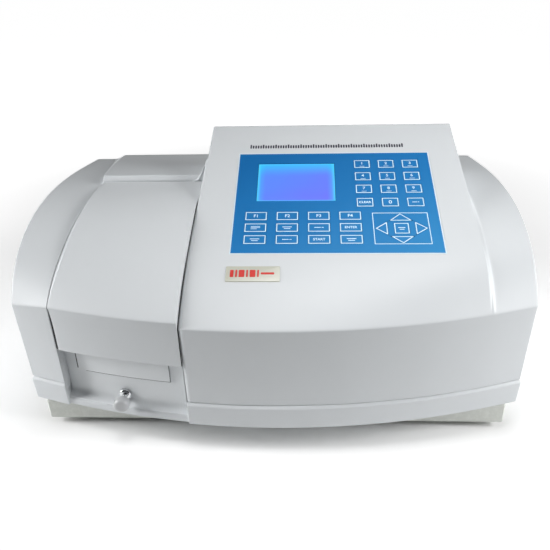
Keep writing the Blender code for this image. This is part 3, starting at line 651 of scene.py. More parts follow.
def join_parts(grids: Iterable[Array]) -> tuple[Array, list[list[int]]]:
    """Welds each grid by itself and puts them all in one mesh."""
    points, faces, start = [], [], 0
    for grid in grids:
        each, cells = weld([(grid, None)])
        points.append(each)
        faces += [[corner + start for corner in cell] for cell in cells]
        start += len(each)
    return np.concatenate(points), faces


# ------------------------------------------------------------------ form of the case
@dataclass(frozen=True)
class CaseForm:
    """The case's surfaces: bowed front, arched top, raised hood and keypad plane."""

    half_width: float = 300.0
    front_y: float = -213.75
    bow: float = 53.45
    back_y: float = 213.75
    crease: tuple[float, float] = (-160.3, 172.7)
    fade_length: float = 60.0
    arch_points: tuple[tuple[float, float], ...] = (
        (-160.3, 172.7), (-106.2, 280.9), (68.0, 249.1), (213.75, 227.8))
    hood_rise: tuple[float, float] = (11.6, 6.3)
    lid_rise: tuple[float, float] = (6.8, 4.1)
    lip: tuple[float, float] = (34.0, 38.0)
    lip_foot: float = 254.6
    slope: float = math.radians(22.16)
    origin: tuple[float, float, float] = (0.0, -104.0, 228.44)
    panel_top: float = 97.9
    panel_join: float = -130.0
    panel_left: tuple[float, float] = (-92.0, -87.3)
    panel_right: tuple[float, float] = (244.8, 239.5)
    bay_left_ends: tuple[float, float] = (-251.0, -236.3)
    bay_right_ends: tuple[float, float] = (-96.2, -92.0)
    bay_near: float = -176.0
    groove_depth: float = 2.2

    def front(self, x: Array, inset: Union[float, Array] = 0.0) -> Array:
        """Bowed front: front_y plus bow times the square of the share of half width."""
        return self.front_y + self.bow * (np.asarray(x) / self.half_width) ** 2 + inset

    def arch(self, y: Array) -> Array:
        """Side profile: a cubic Bezier curve read off at y."""
        t = np.linspace(0.0, 1.0, 801)
        weights = np.stack([(1 - t) ** 3, 3 * t * (1 - t) ** 2, 3 * t * t * (1 - t), t**3])
        ys, zs = np.asarray(self.arch_points).T @ weights
        return np.interp(y, ys, zs)

    def fade(self, y: Array) -> Array:
        """1 at the crease, and a square law down to 0 where the bow has died out."""
        return (1.0 - np.clip((np.asarray(y) - self.crease[0]) / self.fade_length, 0.0, 1.0)) ** 2

    def bowed(self, x: Array, y: Array) -> Array:
        """A profile point at y, moved so that the crease follows the bowed front."""
        return y + (self.front(x) - self.crease[0]) * self.fade(y)

    def bay_left(self, y: Array) -> Array:
        """Left side of the bay, a straight line that narrows towards the hinge."""
        return lerp(self.bay_left_ends, (np.asarray(y) - self.bay_near) / (self.lip[0] - self.bay_near))

    def bay_right(self, y: Union[float, Array]) -> Array:
        """Right side of the bay, a straight line that opens towards the hinge."""
        share = (np.asarray(y) - self.bay_near) / (self.lip[0] - self.bay_near)
        return lerp(self.bay_right_ends, np.clip(share, 0.0, 1.0))

    def bay_sides(self, s: Array) -> tuple[Array, Array]:
        """x of the bay's left and right sides at each row of the profile."""
        return self.bay_left(self.bowed(-245.0, s)), self.bay_right(self.bowed(-94.0, s))

    def groove(self, y: Array, gap: Union[float, Array] = 0.0) -> Array:
        """Hollow beside the lid: deepest at its edge, a smooth step out over 22 mm."""
        y, wide = np.asarray(y), 22.0
        along = step((y + 150.0) / 60.0) * (1.0 - step((y + 8.0) / 40.0))
        return self.groove_depth * along * step((np.asarray(gap) + wide) / wide)

    def cheek(self, x: Array, y: Array) -> Array:
        """Side cheek: the arch; the left crease climbs to meet the lid's."""
        climb = np.clip((np.asarray(x) + self.half_width) / 49.0, 0.0, 1.0)
        extra = np.where(np.asarray(x) < -200.0, lerp((1.3, self.lid_rise[0]), climb), 0.0)
        return self.arch(y) + extra * self.fade(y)

    def hood(self, y: Array) -> Array:
        """Rear deck: the arch plus a rise that falls from the lip to the back."""
        amount = (np.asarray(y) - self.lip[1]) / (self.back_y - self.lip[1])
        return self.arch(y) + lerp(self.hood_rise, np.clip(amount, 0.0, 1.0))

    def lid(self, y: Array) -> Array:
        """Lid: the arch plus a rise that falls from the crease to the lip."""
        amount = (np.asarray(y) - self.crease[0]) / (self.lip[0] - self.crease[0])
        return self.arch(y) + lerp(self.lid_rise, np.clip(amount, 0.0, 1.0))

    def panel(self, x: Array, y: Array) -> Array:
        """Keypad plane; in front of its join a parabola takes it to the crease."""
        rise = math.tan(self.slope)
        plane = self.origin[2] + (y - self.origin[1]) * rise
        at_crease = self.origin[2] + (self.front(x) - self.origin[1]) * rise
        reach = np.clip((y - self.panel_join) / (self.front(x) - self.panel_join), 0.0, None)
        return plane - (at_crease - self.crease[1]) * reach**2

    def on_panel(self, x: Array, v: Array, n: Array) -> Array:
        """World place of (x, v, n) in the keypad plane's own frame."""
        cos, sin = math.cos(self.slope), math.sin(self.slope)
        x, v, n = np.broadcast_arrays(np.asarray(x, float), v, n)
        _, y, z = self.origin
        return np.stack([x, y + v * cos - n * sin, z + v * sin + n * cos], axis=-1)


def fold_turn(distance: Array, soft: float = 13.0) -> tuple[Array, Array]:
    """Which way an edge folds in: back (+y) on the face, down (-z) on the top.

    Formula: the direction turns from one to the other by a smooth step over soft
    millimetres on each side of the crease, at unit length.
    """
    w = step((distance + soft) / (2.0 * soft))
    size = np.sqrt((1 - w) ** 2 + w**2)
    return (1 - w) / size, -w / size


# ------------------------------------------------------------------ upper case
@dataclass
class UpperCase:
    """The one-piece moulded cover with its hood, keypad panel and open bay."""

    form: CaseForm = field(default_factory=CaseForm)
    floor: float = 70.0
    taper: float = 2.9
    face_inset: float = 2.6
    wall: float = 1.2
    levels: tuple[float, ...] = (0.0, 0.012, 0.12, 0.4, 0.73, 0.88, 0.984, 1.0)
    rows: tuple[float, ...] = (
        -160.3, -158.7, -151.0, -142.0, -131.0, -122.0, -114.0, -97.0, -80.0, -60.0, -40.0, -20.0, 0.0,
        15.0, 27.0, 33.2, 34.0, 34.35, 35.3, 37.1, 38.0, 39.4, 46.0, 66.0, 86.0, 95.6, 97.9, 98.5, 107.2,
        108.3, 112.0, 140.0, 175.0, 204.0, 211.4, 213.75)

    def build(self) -> None:
        """Builds the cover's skin, the black ribbons of painted shade in the gaps beside the lid and the
        liner of the bay.
        """
        self.skin()
        self.gap_shade_ribbons()
        self.liner()

    def columns(self) -> tuple[Array, Array, Array, Array, tuple[int, int]]:
        """Works out the top surface.

        Returns:
            x, y, z of shape (columns, rows); the fold depth of each column where it
            lines the bay; and the numbers of the two columns whose span is open there.
        """
        f, s = self.form, np.asarray(self.rows)
        bay = s < 33.9
        left, right = f.bay_sides(s)
        share = np.clip((s - f.panel_join) / (f.panel_top - f.panel_join), 0.0, 1.0)
        pl, pr = lerp(f.panel_left, share), lerp(f.panel_right, share)
        deck = np.clip((s - 38.0) / 175.0, 0.0, 1.0)
        top_edge = lerp((-234.6, -254.0), deck)
        flank_width = lerp((1.6, 12.5), deck)
        foot = top_edge - flank_width
        lip = np.interp(s, (34.0, 34.35, 35.3, 37.1, 38.0, 39.4),
                        (250.5, f.lip_foot + 0.2, 256.0, 258.7, 259.75, f.hood(39.4)))
        hood = np.where(s < 39.3, lip, f.hood(s))
        zero = np.zeros_like(s)
        xs: list[Array] = []
        zs: list[Array] = []
        folds: list[Array] = []

        def add(x: Array, z: Array, fold: Array = zero) -> None:
            """Adds one column."""
            xs.append(x + zero)
            zs.append(z + zero)
            folds.append(np.where(bay, fold * np.interp(s, (15.0, 33.2), (1.0, 0.05)), 0.0))

        for x in (-300.0, -297.6, -290.0, -278.0, -270.0):
            add(x, f.cheek(x, s))
        for gap, side, up in ((-13.0, -0.35, 0.0), (-8.5, 0.0, 0.03), (-4.5, 0.5, 0.45),
                              (-1.4, 0.87, 0.92), (0.0, 1.0, 1.0)):
            x = np.where(bay, left + gap, foot + side * flank_width)
            dip = f.groove(s, gap)
            cheek = f.cheek(x, s)
            add(x, np.where(bay, cheek - dip, cheek + (hood - cheek) * up))
        edge = f.cheek(left, s) - f.groove(s)
        for depth, on in ((1.6, 1.8), (9.0, 9.0)):
            add(np.where(bay, left, top_edge + on), np.where(bay, edge, hood), depth + zero)
        for x in (-200.0, -165.0, -130.0):
            add(x, hood)
        panel_edge = self.panel_height(pl, s, hood)
        behind = s > f.panel_top + 0.1
        deep = np.maximum(9.0, panel_edge - f.lid(s) + 7.0)
        add(np.where(bay, right, -104.0), np.where(bay, panel_edge, hood), deep)
        add(np.where(bay, right, -97.4), np.where(bay, panel_edge, hood), deep - 3.0)
        flank = np.minimum(hood + 1.3, panel_edge)
        add(np.where(bay, right + 0.05, -95.9), np.where(bay, panel_edge, flank), 0.5 * deep - 0.6)
        lower = np.where(behind, np.maximum(panel_edge - 0.7 * (panel_edge > hood + 0.5), hood),
                         panel_edge - 1.3)
        add(np.where(bay, np.minimum(pl, right + 0.4), pl - 0.35), np.where(bay, panel_edge, lower),
            1.3 + zero)
        add(np.where(bay, np.maximum(pl, right + 0.45), pl), panel_edge)
        add(np.maximum(pl, right + 0.45) + 1.5, panel_edge)
        for x in (-66.0, -43.0, -20.0, 20.0, 72.0, 100.0, 140.0, 175.0, 198.5, 222.0):
            add(x, self.panel_height(x + zero, s, hood))
        for gap in (-1.6, 0.0):
            add(pr + gap, self.panel_height(pr + gap, s, hood))
        cheek = f.cheek(pr + 4.0, s)
        crown = self.panel_height(pr, s, hood)
        rise = np.maximum(crown - cheek, 0.0)
        for gap, up, drop in ((0.4, 1.0, 1.4), (3.4, 0.0, -1.3), (4.6, 0.0, 0.0), (9.0, 0.0, 0.0)):
            eased = np.minimum(drop, 0.3 * rise * np.sign(drop) + 0.7 * drop * (rise > 3))
            add(pr + gap, cheek + rise * up - eased * (rise > 0))
        for x in (262.0, 278.0, 290.0, 297.6, 300.0):
            add(x, f.cheek(x, s))
        x, z, fold = np.stack(xs), np.stack(zs), np.stack(folds)
        y = f.bowed(x, s[None, :])
        y[:, -1] = f.back_y
        along = (s - f.crease[0])[None, :] + 0.0 * fold
        back, down = fold_turn(along)
        y += fold * back
        z += fold * down
        return x, y, z, fold, (11, 15)

    def panel_height(self, x: Array, s: Array, hood: Array) -> Array:
        """Height over the keypad panel, its rear wall and the deck behind it.

        The row behind the panel's top drops by a soft edge, and the row at the wall's
        foot stands a little above the deck, so that both corners come out rounded.
        """
        f, drop, lift = self.form, 1.4, 1.1
        z = np.where(s <= f.panel_top, f.panel(x, f.bowed(x, s)), hood)
        z = np.where((s > 98.0) & (s < 99.0), f.panel(0.0, f.panel_top) - drop, z)
        return np.where((s > 107.0) & (s < 108.0), hood + lift, z)

    def skin(self) -> None:
        """The outside: top, face, back and two sides, welded along their edges."""
        f = self.form
        s = np.asarray(self.rows)
        x, y, z, fold, (inner_left, inner_right) = self.columns()
        q = np.asarray(self.levels)
        near_fold = fold[:, :1]
        base_y = f.front(x[:, :1])
        base_z = z[:, :1] - near_fold * fold_turn(np.zeros((1, 1)))[1]
        level = self.floor + q[None, :] * (base_z - self.floor)
        pull = np.clip((np.abs(x[:, :1]) - 252.0) / 48.0, 0.0, 1.0) * self.taper * (1 - q[None, :])
        back, down = fold_turn(level - base_z)
        face = np.stack([
            x[:, :1] - np.sign(x[:, :1]) * pull,
            base_y + self.face_inset * (1 - q[None, :]) + near_fold * back,
            level + near_fold * down], axis=-1)
        face[:, -1] = np.stack([x[:, 0], y[:, 0], z[:, 0]], axis=-1)
        top = np.stack([x, y, z], axis=-1)
        rear_z = self.floor + q[None, :] * (z[:, -1:] - self.floor)
        rear = np.stack([x[:, -1:] - np.sign(x[:, -1:]) * pull, f.back_y + 0.0 * rear_z, rear_z], axis=-1)
        patches: list[Patch] = []
        for edge, sign in ((0, 1.0), (-1, -1.0)):
            height = self.floor + q[None, :] * (z[edge][:, None] - self.floor)
            side = np.stack([x[edge][:, None] + sign * self.taper * (1 - q[None, :]),
                             y[edge][:, None] + self.face_inset * (1 - q[None, :]) * (s[:, None] < -160.0),
                             height], axis=-1)
            patches.append((side, None))
        count, rows = x.shape
        column = np.arange(count - 1)[:, None] + np.zeros((1, rows - 1), int)
        row = s[None, :-1] + np.zeros((count - 1, 1))
        outside_bay = (column < inner_left) | (column >= inner_right) | (row > 33.5)
        window = (x[:-1, 5:6] > -43.5) & (x[1:, 5:6] < 199.0) & (row > -114.5) & (s[None, 1:] < 36.0)
        patches.append((top, outside_bay & ~window))
        keep = np.ones((count - 1, len(q) - 1), bool)
        keep[inner_left:inner_right] = False
        patches.append((face, keep))
        keep = np.ones((count - 1, len(q) - 1), bool)
        keep[(x[:-1, -1] > 71.0) & (x[1:, -1] < 279.0), 2:4] = False  # the rear panel's opening
        patches.append((rear, keep))
        sheet_piece("case_cover", patches, Finish.CASE).soften(2).thicken(self.wall).hang(
            "case", "case_grey", "upper_case")

    def liner(self) -> None:
        """Flat walls round the bay, from below the shelf to just under the skin."""
        f = self.form
        u = np.linspace(0.0, 1.0, 9)[:, None]
        v = np.linspace(0.0, 1.0, 25)[None, :]
        foot, end, under_hood = 60.0, 50.0, 250.0

        def wall(x: Array, y: Array, crown: Array) -> Array:
            """Grid of a wall from its foot up to crown."""
            return np.stack(np.broadcast_arrays(x, y, foot + u * (crown - foot)), axis=-1)

        y = lerp((float(f.front(-250.0)) + 4.4, end), v)
        crown = np.where(y > f.lip[0], under_hood, f.cheek(-245.0, y) - f.groove(y)) - 1.2
        left = wall(f.bay_left(y), y, crown)
        y = lerp((float(f.front(-92.5)) + 4.4, end), v)
        crown = np.where(y > f.lip[0], under_hood, np.minimum(f.panel(-92.0, y), f.lid(y)) - 3.0)
        right = wall(f.bay_right(y), y, crown)
        rear = wall(lerp((float(f.bay_left(end)), float(f.bay_right(end))), v), end, under_hood - 1.0)
        sheet_piece("bay_liner", [(left, None), (rear, None), (right[:, ::-1], None)], Finish.CASE,
                    inside_out=True).thicken(1.6).hang("case", "case_grey")

    def gap_shade_ribbons(self) -> None:
        """Black ribbons that fill the shut gaps beside the lid, as painted shade.

        Formula: each ribbon is thin. It runs up the flap's edge, over the
        crease and along the rim, and at every place it spans from the case's edge
        to the lid's, a fixed depth below the skin.
        """
        f, lid = self.form, SampleLid()
        up = np.linspace(0.0, 1.0, 13)
        s = np.concatenate([np.full(13, f.crease[0]), np.linspace(f.crease[0] + 2.5, 30.0, 44)])
        share = np.concatenate([up, np.ones(44)])
        for name, way, deep in (("left", 1.0, 1.6), ("right", -1.0, 1.1)):
            x = f.bay_sides(s)[0 if way > 0 else 1]
            if way > 0:
                high, wide = f.cheek(x, s) - f.groove(s), lid.gap_left + lid.slit * (1.0 - share**7)
            else:
                high, wide = np.minimum(f.panel(x, f.bowed(x, s)), f.lid(s)), lid.gap_right + 0.0 * share
            z = np.where(share < 1.0, lerp((lid.flap_foot, high), share), high)
            back, down = fold_turn(np.where(share < 1.0, z - high, s - f.crease[0]))
            inner, outer = 0.02, wide - 0.06
            y, z = f.bowed(x, s) + deep * back, z + deep * down
            rings = [np.stack([x + way * across, y + 0.5 * on * back, z + 0.5 * on * down], axis=-1)
                     for across, on in ((inner, 0.0), (outer, 0.0), (outer, 1.0), (inner, 1.0), (inner, 0.0))]
            grid = np.stack(rings, axis=1)
            ends = [np.stack([np.repeat(grid[k].mean(axis=0)[None], 5, axis=0), grid[k]]) for k in (0, -1)]
            # painted shade: a black ribbon a little below the skin darkens each shut gap
            sheet_piece(f"gap_shade_ribbon_{name}", [(each, None) for each in (grid, *ends)], Finish.LINE).hang(
                "case", "rubber")


# ------------------------------------------------------------------ lower case
@dataclass
class LowerCase:
    """The shallow band under the cover, with its ledge and the step at the bay."""

    form: CaseForm = field(default_factory=CaseForm)
    side_extra: float = 1.5
    back_y: float = 213.7
    profile: Corners = (
        (9.0, 37.0), (2.6, 37.0), (1.65, 37.9), (1.6, 39.4), (0.9, 52.0), (0.1, 64.6),
        (0.0, 66.2), (0.9, 67.3), (2.6, 69.2), (3.8, 69.7), (12.0, 69.7), (20.0, 69.7))
    stepped: Corners = (
        (12.0, 37.0), (6.0, 37.0), (4.9, 37.8), (4.6, 39.4), (4.3, 42.0), (4.3, 44.2),
        (4.5, 45.6), (5.4, 47.2), (7.4, 47.8), (10.0, 48.0), (14.0, 48.0), (20.0, 48.0))

    def build(self) -> None:
        """Sweeps the profile round the plan; between the bay's sides it steps down."""
        f = self.form
        left, right = float(f.bay_left(f.front(-251.0))), float(f.bay_right(f.bay_near))
        near = np.concatenate([
            np.array([-300.0, -296.5, -284.0, -268.0, left - 3.0, left - 0.9, left]),
            np.array([left + 0.5, left + 1.6]), np.linspace(left + 16.0, right - 16.0, 7),
            np.array([right - 1.6, right - 0.5, right, right + 0.9, right + 3.0]),
            np.linspace(right + 24.0, 268.0, 15), np.array([284.0, 296.5, 300.0])])
        steps = (near > left + 0.2) & (near < right - 0.2)
        plain, low = np.asarray(self.profile), np.asarray(self.stepped)
        shape = np.where(steps[:, None, None], low[None], plain[None])
        inset, height = shape[..., 0], shape[..., 1]
        half = f.half_width - self.side_extra - inset
        x = np.clip(near[:, None], -half, half)
        front = np.stack([x, f.front(x, inset), height], axis=-1)
        side_y = np.array([-156.0, -140.0, -60.0, 60.0, 170.0, 204.0, 211.0])[:, None]
        half = f.half_width - self.side_extra - plain[:, 0]
        rear, level = self.back_y - plain[:, 0], plain[:, 1]

        def ring(x: Array, y: Array) -> Array:
            """Points at x and y for every height of the profile."""
            return np.stack(np.broadcast_arrays(x, y, level), axis=-1)

        across = np.linspace(290.0, -290.0, 14)[:, None]
        loop = np.concatenate([
            front, ring(half, np.minimum(side_y, rear)), ring(half, rear)[None],
            ring(np.clip(across, -half, half), rear), ring(-half, rear)[None],
            ring(-half, np.minimum(side_y[::-1], rear)), front[:1]])
        floor_x = np.linspace(-288.0, 288.0, 25)[None, :]
        floor_y = lerp((f.front(floor_x, 12.0), 205.0), np.linspace(0.0, 1.0, 5)[:, None])
        floor = np.stack(np.broadcast_arrays(floor_x, floor_y, 38.8), axis=-1)
        sheet_piece("case_band", [(loop, None)], Finish.CASE).soften(2).thicken(1.6).hang(
            "case", "case_grey", "lower_case")
        sheet_piece("band_floor", [(floor, None)], Finish.CASE).thicken(1.5, 0.0).hang("case", "case_grey")


# ------------------------------------------------------------------ lid
@dataclass
class SampleLid:
    """Lid over the sample bay: a crowned top with a soft left shoulder and a flap."""

    form: CaseForm = field(default_factory=CaseForm)
    gap_left: float = 0.45
    slit: float = 2.5
    gap_right: float = 1.1
    flap_foot: float = 122.0
    rear: float = 33.0
    wall: float = 2.2
    hinge: tuple[float, float] = (26.0, 241.0)
    shoulder_y: tuple[float, ...] = (-176.0, -166.0, -155.0, -140.0, -100.0, -60.0, -20.0, 34.0)
    shoulder_width: tuple[float, ...] = (0.6, 1.6, 4.0, 6.0, 7.2, 6.2, 4.8, 2.6)
    rows: tuple[float, ...] = (
        -160.3, -158.7, -151.0, -142.0, -131.0, -118.0, -100.0, -80.0, -60.0, -40.0, -20.0, 0.0, 15.0, 27.0,
        31.8, 33.0)
    levels: tuple[float, ...] = (0.0, 0.025, 0.3, 0.65, 0.9, 0.972, 1.0)

    def place_columns(self, place: Array) -> Array:
        """x of every column at that y: left edge, shoulder, plateau, right edge."""
        left = self.form.bay_left(place) + self.gap_left + 0.6 * step(place / self.rear)
        width = np.interp(place, self.shoulder_y, self.shoulder_width)
        right = self.form.bay_right(place) - self.gap_right
        shoulder = [left + width * t for t in (0.0, 0.3, 0.5, 0.72, 0.9, 1.0)]
        start = left + width + 2.6
        plateau = [lerp((start, right), t) for t in (0.0, 0.22, 0.5, 0.78, 0.95, 0.992, 1.0)]
        return np.stack(shoulder + plateau)

    def build(self) -> None:
        """Welds the top and the flap, with both side edges folded in."""
        f, s = self.form, np.asarray(self.rows)
        x = self.place_columns(f.bowed(-170.0, s))
        for _ in range(4):
            place = f.bowed(x, s[None, :])
            x = np.stack([self.place_columns(place[j])[j] for j in range(len(x))])
        y = f.bowed(x, s[None, :])
        left, full = x[:1], f.lid(s)[None, :]
        last = 5  # number of the shoulder's last column
        width = np.maximum(x[last:last + 1] - left, 0.1)
        across = np.clip((x - left) / width, 0.0, 1.0)
        near_left = x < -150.0
        cheek = f.cheek(x, s[None, :]) - np.where(near_left, f.groove(s[None, :]), 0.0)
        z = cheek + (full - cheek) * np.where(near_left, step((across - 0.38) / 0.62), 1.0)
        z = np.where(np.arange(len(x))[:, None] > last, full, z)
        fold = np.concatenate([(10.0, 1.5), np.zeros(len(x)), (1.5, 10.0)])[:, None]
        x, y, z = (np.concatenate([grid[:1], grid[:1], grid, grid[-1:], grid[-1:]]) for grid in (x, y, z))
        q = np.asarray(self.levels)[None, :]
        level = self.flap_foot + q * (z[:, :1] - self.flap_foot)
        back, down = fold_turn(level - z[:, :1])
        rank = np.maximum(np.arange(len(x))[:, None] - 2.0, 0.0)
        flap_x = np.maximum(x[:, :1] + 0.0 * q, x[2, 0] + self.slit * (1.0 - q**7) + 0.03 * rank)
        flap = np.stack(np.broadcast_arrays(flap_x, y[:, :1] + fold * back, level + fold * down), axis=-1)
        back, down = fold_turn((s - f.crease[0])[None, :])
        top = np.stack([x, y + fold * back, z + fold * down], axis=-1)
        rim = top[:, -1:] + np.array([[(0.0, 0.15, -1.4), (0.0, 0.15, -5.0)]])
        rear_rim = np.concatenate([top[:, -1:], rim], axis=1)
        sheet_piece("bay_lid", [(flap, None), (top, None), (rear_rim, None)], Finish.CASE).soften(2).thicken(
            self.wall).hang("lid", "case_grey", "sample_lid")
        self.pins()

    def pins(self) -> None:
        """Two hinge ears with steel pins at the lid's rear corners."""
        y, z = self.hinge
        left = float(self.form.bay_left(y)) + self.gap_left
        right = float(self.form.bay_right(y)) - self.gap_right
        profile = ((0.0, -2.6), (2.0, -2.6), (2.5, -2.1), (2.5, 0.3), (5.3, 0.3), (5.6, 0.6), (5.6, 3.2),
                   (5.2, 3.6), (0.0, 3.6))
        for name, x, way in (("left", left, 1.0), ("right", right, -1.0)):
            shape = tuple((r, h * way) for r, h in profile)
            turned_piece(f"hinge_pin_{name}", shape, (x, y, z), Finish.STEEL, "X", 32).hang(
                "lid", "case_grey")


# ------------------------------------------------------------------ sample bay
@dataclass
class SampleBay:
    """Recessed front plate, access door, tub, push-pull rod and cell carriage."""

    form: CaseForm = field(default_factory=CaseForm)
    recess: float = 17.0
    rim: float = 165.0
    door: tuple[float, float, float, float] = (-235.5, -116.0, 86.0, 115.0)
    rod: tuple[float, float] = (-176.0, 60.0)

    def build(self) -> None:
        """Builds every piece of the bay."""
        self.plate()
        self.tub()
        self.door_leaf()
        self.rod_and_knob()

    def bowed_plate(self, x: Array, z: Array, inset: Union[float, Array]) -> Array:
        """Points on the bowed front at x and z, moved back by inset."""
        x, z, inset = np.broadcast_arrays(x, z, inset)
        return np.stack([x, self.form.front(x, inset), z], axis=-1)

    def bowed_slab(self, x: Array, z: Array, insets: tuple[float, float]) -> list[Patch]:
        """Closed slab between two insets: its two faces, then a strip on each edge."""
        face, rear = (self.bowed_plate(x[:, None], z[None, :], inset) for inset in insets)
        ends = [np.stack([face[k], rear[k]]) for k in (0, -1)]
        sides = [np.stack([face[:, k], rear[:, k]]) for k in (0, -1)]
        return [(grid, None) for grid in (face, rear, *ends, *sides)]

    def plate(self) -> None:
        """Front plate with the doorway; its foot curves out over the shelf."""
        f = self.form
        left, right = float(f.bay_left(-156.0)) - 0.3, float(f.bay_right(f.bay_near)) + 0.4
        doorway_x, doorway_z = (-231.4, -120.1), (89.6, 111.4)
        x = np.array([left, left + 1.5, -240.0, doorway_x[0], -205.0, -176.0, -147.0, doorway_x[1], -106.0,
                      right - 1.5, right])
        foot = ((6.2, 48.25), (7.0, 48.3), (10.5, 48.5), (13.8, 49.6), (16.0, 52.2))
        upright = (56.0, 60.0, 75.0, doorway_z[0], 100.0, doorway_z[1], 125.0, 163.0, self.rim)
        inset, z = np.asarray(foot + tuple((self.recess, level) for level in upright)).T
        inside_x = (x[:-1] >= doorway_x[0]) & (x[1:] <= doorway_x[1])
        inside_z = (z[:-1] >= doorway_z[0]) & (z[1:] <= doorway_z[1])
        grid = self.bowed_plate(x[:, None], z[None, :], inset[None, :])
        sheet_piece("bay_plate", [(grid, ~(inside_x[:, None] & inside_z[None, :]))], Finish.PLATE,
                    towards=(0.0, -1.0, 0.3)).soften(2).thicken(1.8).hang("case", "case_grey")

    def tub(self) -> None:
        """Open box behind the plate, with a rim flange, seen from above."""
        f = self.form
        back, low = 17.0, 45.0
        side = float(f.bay_right(f.bay_near)) - 6.0
        front_x = np.linspace(float(f.bay_left(-150.0)) + 8.0, side, 9)
        near = np.stack([front_x, f.front(front_x, 20.5)], axis=1)
        right = np.stack([np.full(4, side), np.linspace(-150.0, back - 3.0, 4)], axis=1)
        far_x = np.linspace(side, float(f.bay_left(back)) + 8.0, 7)
        far = np.stack([far_x, np.full(7, back)], axis=1)
        side_y = np.linspace(back - 3.0, -150.0, 4)
        left = np.stack([f.bay_left(side_y) + 8.0, side_y], axis=1)
        ring = np.concatenate([near, right, far, left, near[:1]])
        middle = ring[:-1].mean(axis=0)
        rows = ((0.0, low), (0.5, low), (0.985, low), (1.0, low + 2.0), (1.0, 100.0), (1.0, self.rim - 1.5),
                (1.012, self.rim), (1.06, self.rim))
        rings = [np.column_stack([middle + (ring - middle) * share, np.full(len(ring), z)])
                 for share, z in rows]
        grid = np.stack(rings, axis=1)
        sheet_piece("bay_tub", [(grid, None)], Finish.BAY, inside_out=True).thicken(1.6).hang(
            "case", "case_grey", "sample_chamber")

    def door_leaf(self) -> None:
        """Thin bowed door with soft edges, its boss, and black strips in its shut gaps that are painted
        shade.
        """
        x0, x1, z0, z1 = self.door
        x = np.concatenate([[x0, x0 + 0.8], np.linspace(x0 + 12.0, x1 - 12.0, 7), [x1 - 0.8, x1]])
        z = np.array([z0, z0 + 0.8, z0 + 9.0, z1 - 9.0, z1 - 0.8, z1])
        sheet_piece("access_door", self.bowed_slab(x, z, (15.3, 16.8)), Finish.PLATE).soften(2).hang(
            "access_plate", "case_grey", "access_plate")
        boss = self.bowed_slab(np.linspace(-230.0, -121.5, 9), np.array([91.0, 110.0]), (19.0, 16.8))
        sheet_piece("access_door_boss", boss, Finish.BAY).hang("access_plate", "case_grey")
        # painted shade: black strips stand for the shadow in the finger slit and in the shut lines at the
        # door's foot and side
        for name, wide, tall in (("finger_slit_shade", (x0 + 0.7, x0 + 2.0), (88.5, z1 - 0.4)),
                                 ("foot_shadow_line", (x0 + 12.0, x1 - 0.3), (z0 + 0.2, z0 + 0.55)),
                                 ("side_shadow_line", (x1 - 0.8, x1 - 0.3), (z0 + 0.55, z1 - 0.4))):
            line = self.bowed_slab(np.linspace(*wide, 7), np.linspace(*tall, 4), (15.22, 15.9))
            sheet_piece(f"door_{name}", line, Finish.LINE).hang("access_plate", "case_grey")

    def rod_and_knob(self) -> None:
        """Chromed bush and rod, and the turned knob on the rod's end."""
        x, z = self.rod
        y = float(self.form.front(x, self.recess))
        bush = ((2.8, 2.0), (2.8, -4.4), (3.2, -4.9), (5.2, -4.9), (7.0, -4.2), (7.4, -3.2), (7.4, 2.0),
                (2.8, 2.0))
        turned_piece("rod_bush_ring", bush, (x, y, z), Finish.CHROME, "Y", 40).hang("case", "chrome")
        rod = ((0.0, 0.0), (2.0, 0.0), (2.5, 0.5), (2.5, 92.0), (2.0, 92.5), (0.0, 92.5))
        turned_piece("cell_rod", rod, (x, -199.5, z), Finish.CHROME, "Y", 32).hang(
            "cell_slide", "chrome", "pull_rod")
        knob = ((0.0, -6.9), (3.0, -6.9), (5.2, -6.7), (7.2, -5.9), (8.5, -4.4), (9.3, -2.0), (9.5, 0.5),
                (9.2, 2.8), (8.6, 4.6), (7.6, 5.9), (6.2, 6.5), (2.8, 6.5), (2.8, 2.0), (0.0, 2.0))
        turned_piece("cell_knob", knob, (x, -198.5, z), Finish.KNOB, "Y", 48).hang(
            "cell_slide", "pale_plastic", "pull_knob")


# ------------------------------------------------------------------ keypad
@dataclass(frozen=True)
class KeyPrint:
    """One key: its outline in the keypad plane, and its characters if it has any."""

    name: str
    corners: Corners
    text: str = ""
    size: float = 6.0

    @property
    def middle(self) -> tuple[float, float]:
        """Mean of the corners."""
        x, v = np.mean(np.asarray(self.corners), axis=0)
        return float(x), float(v)


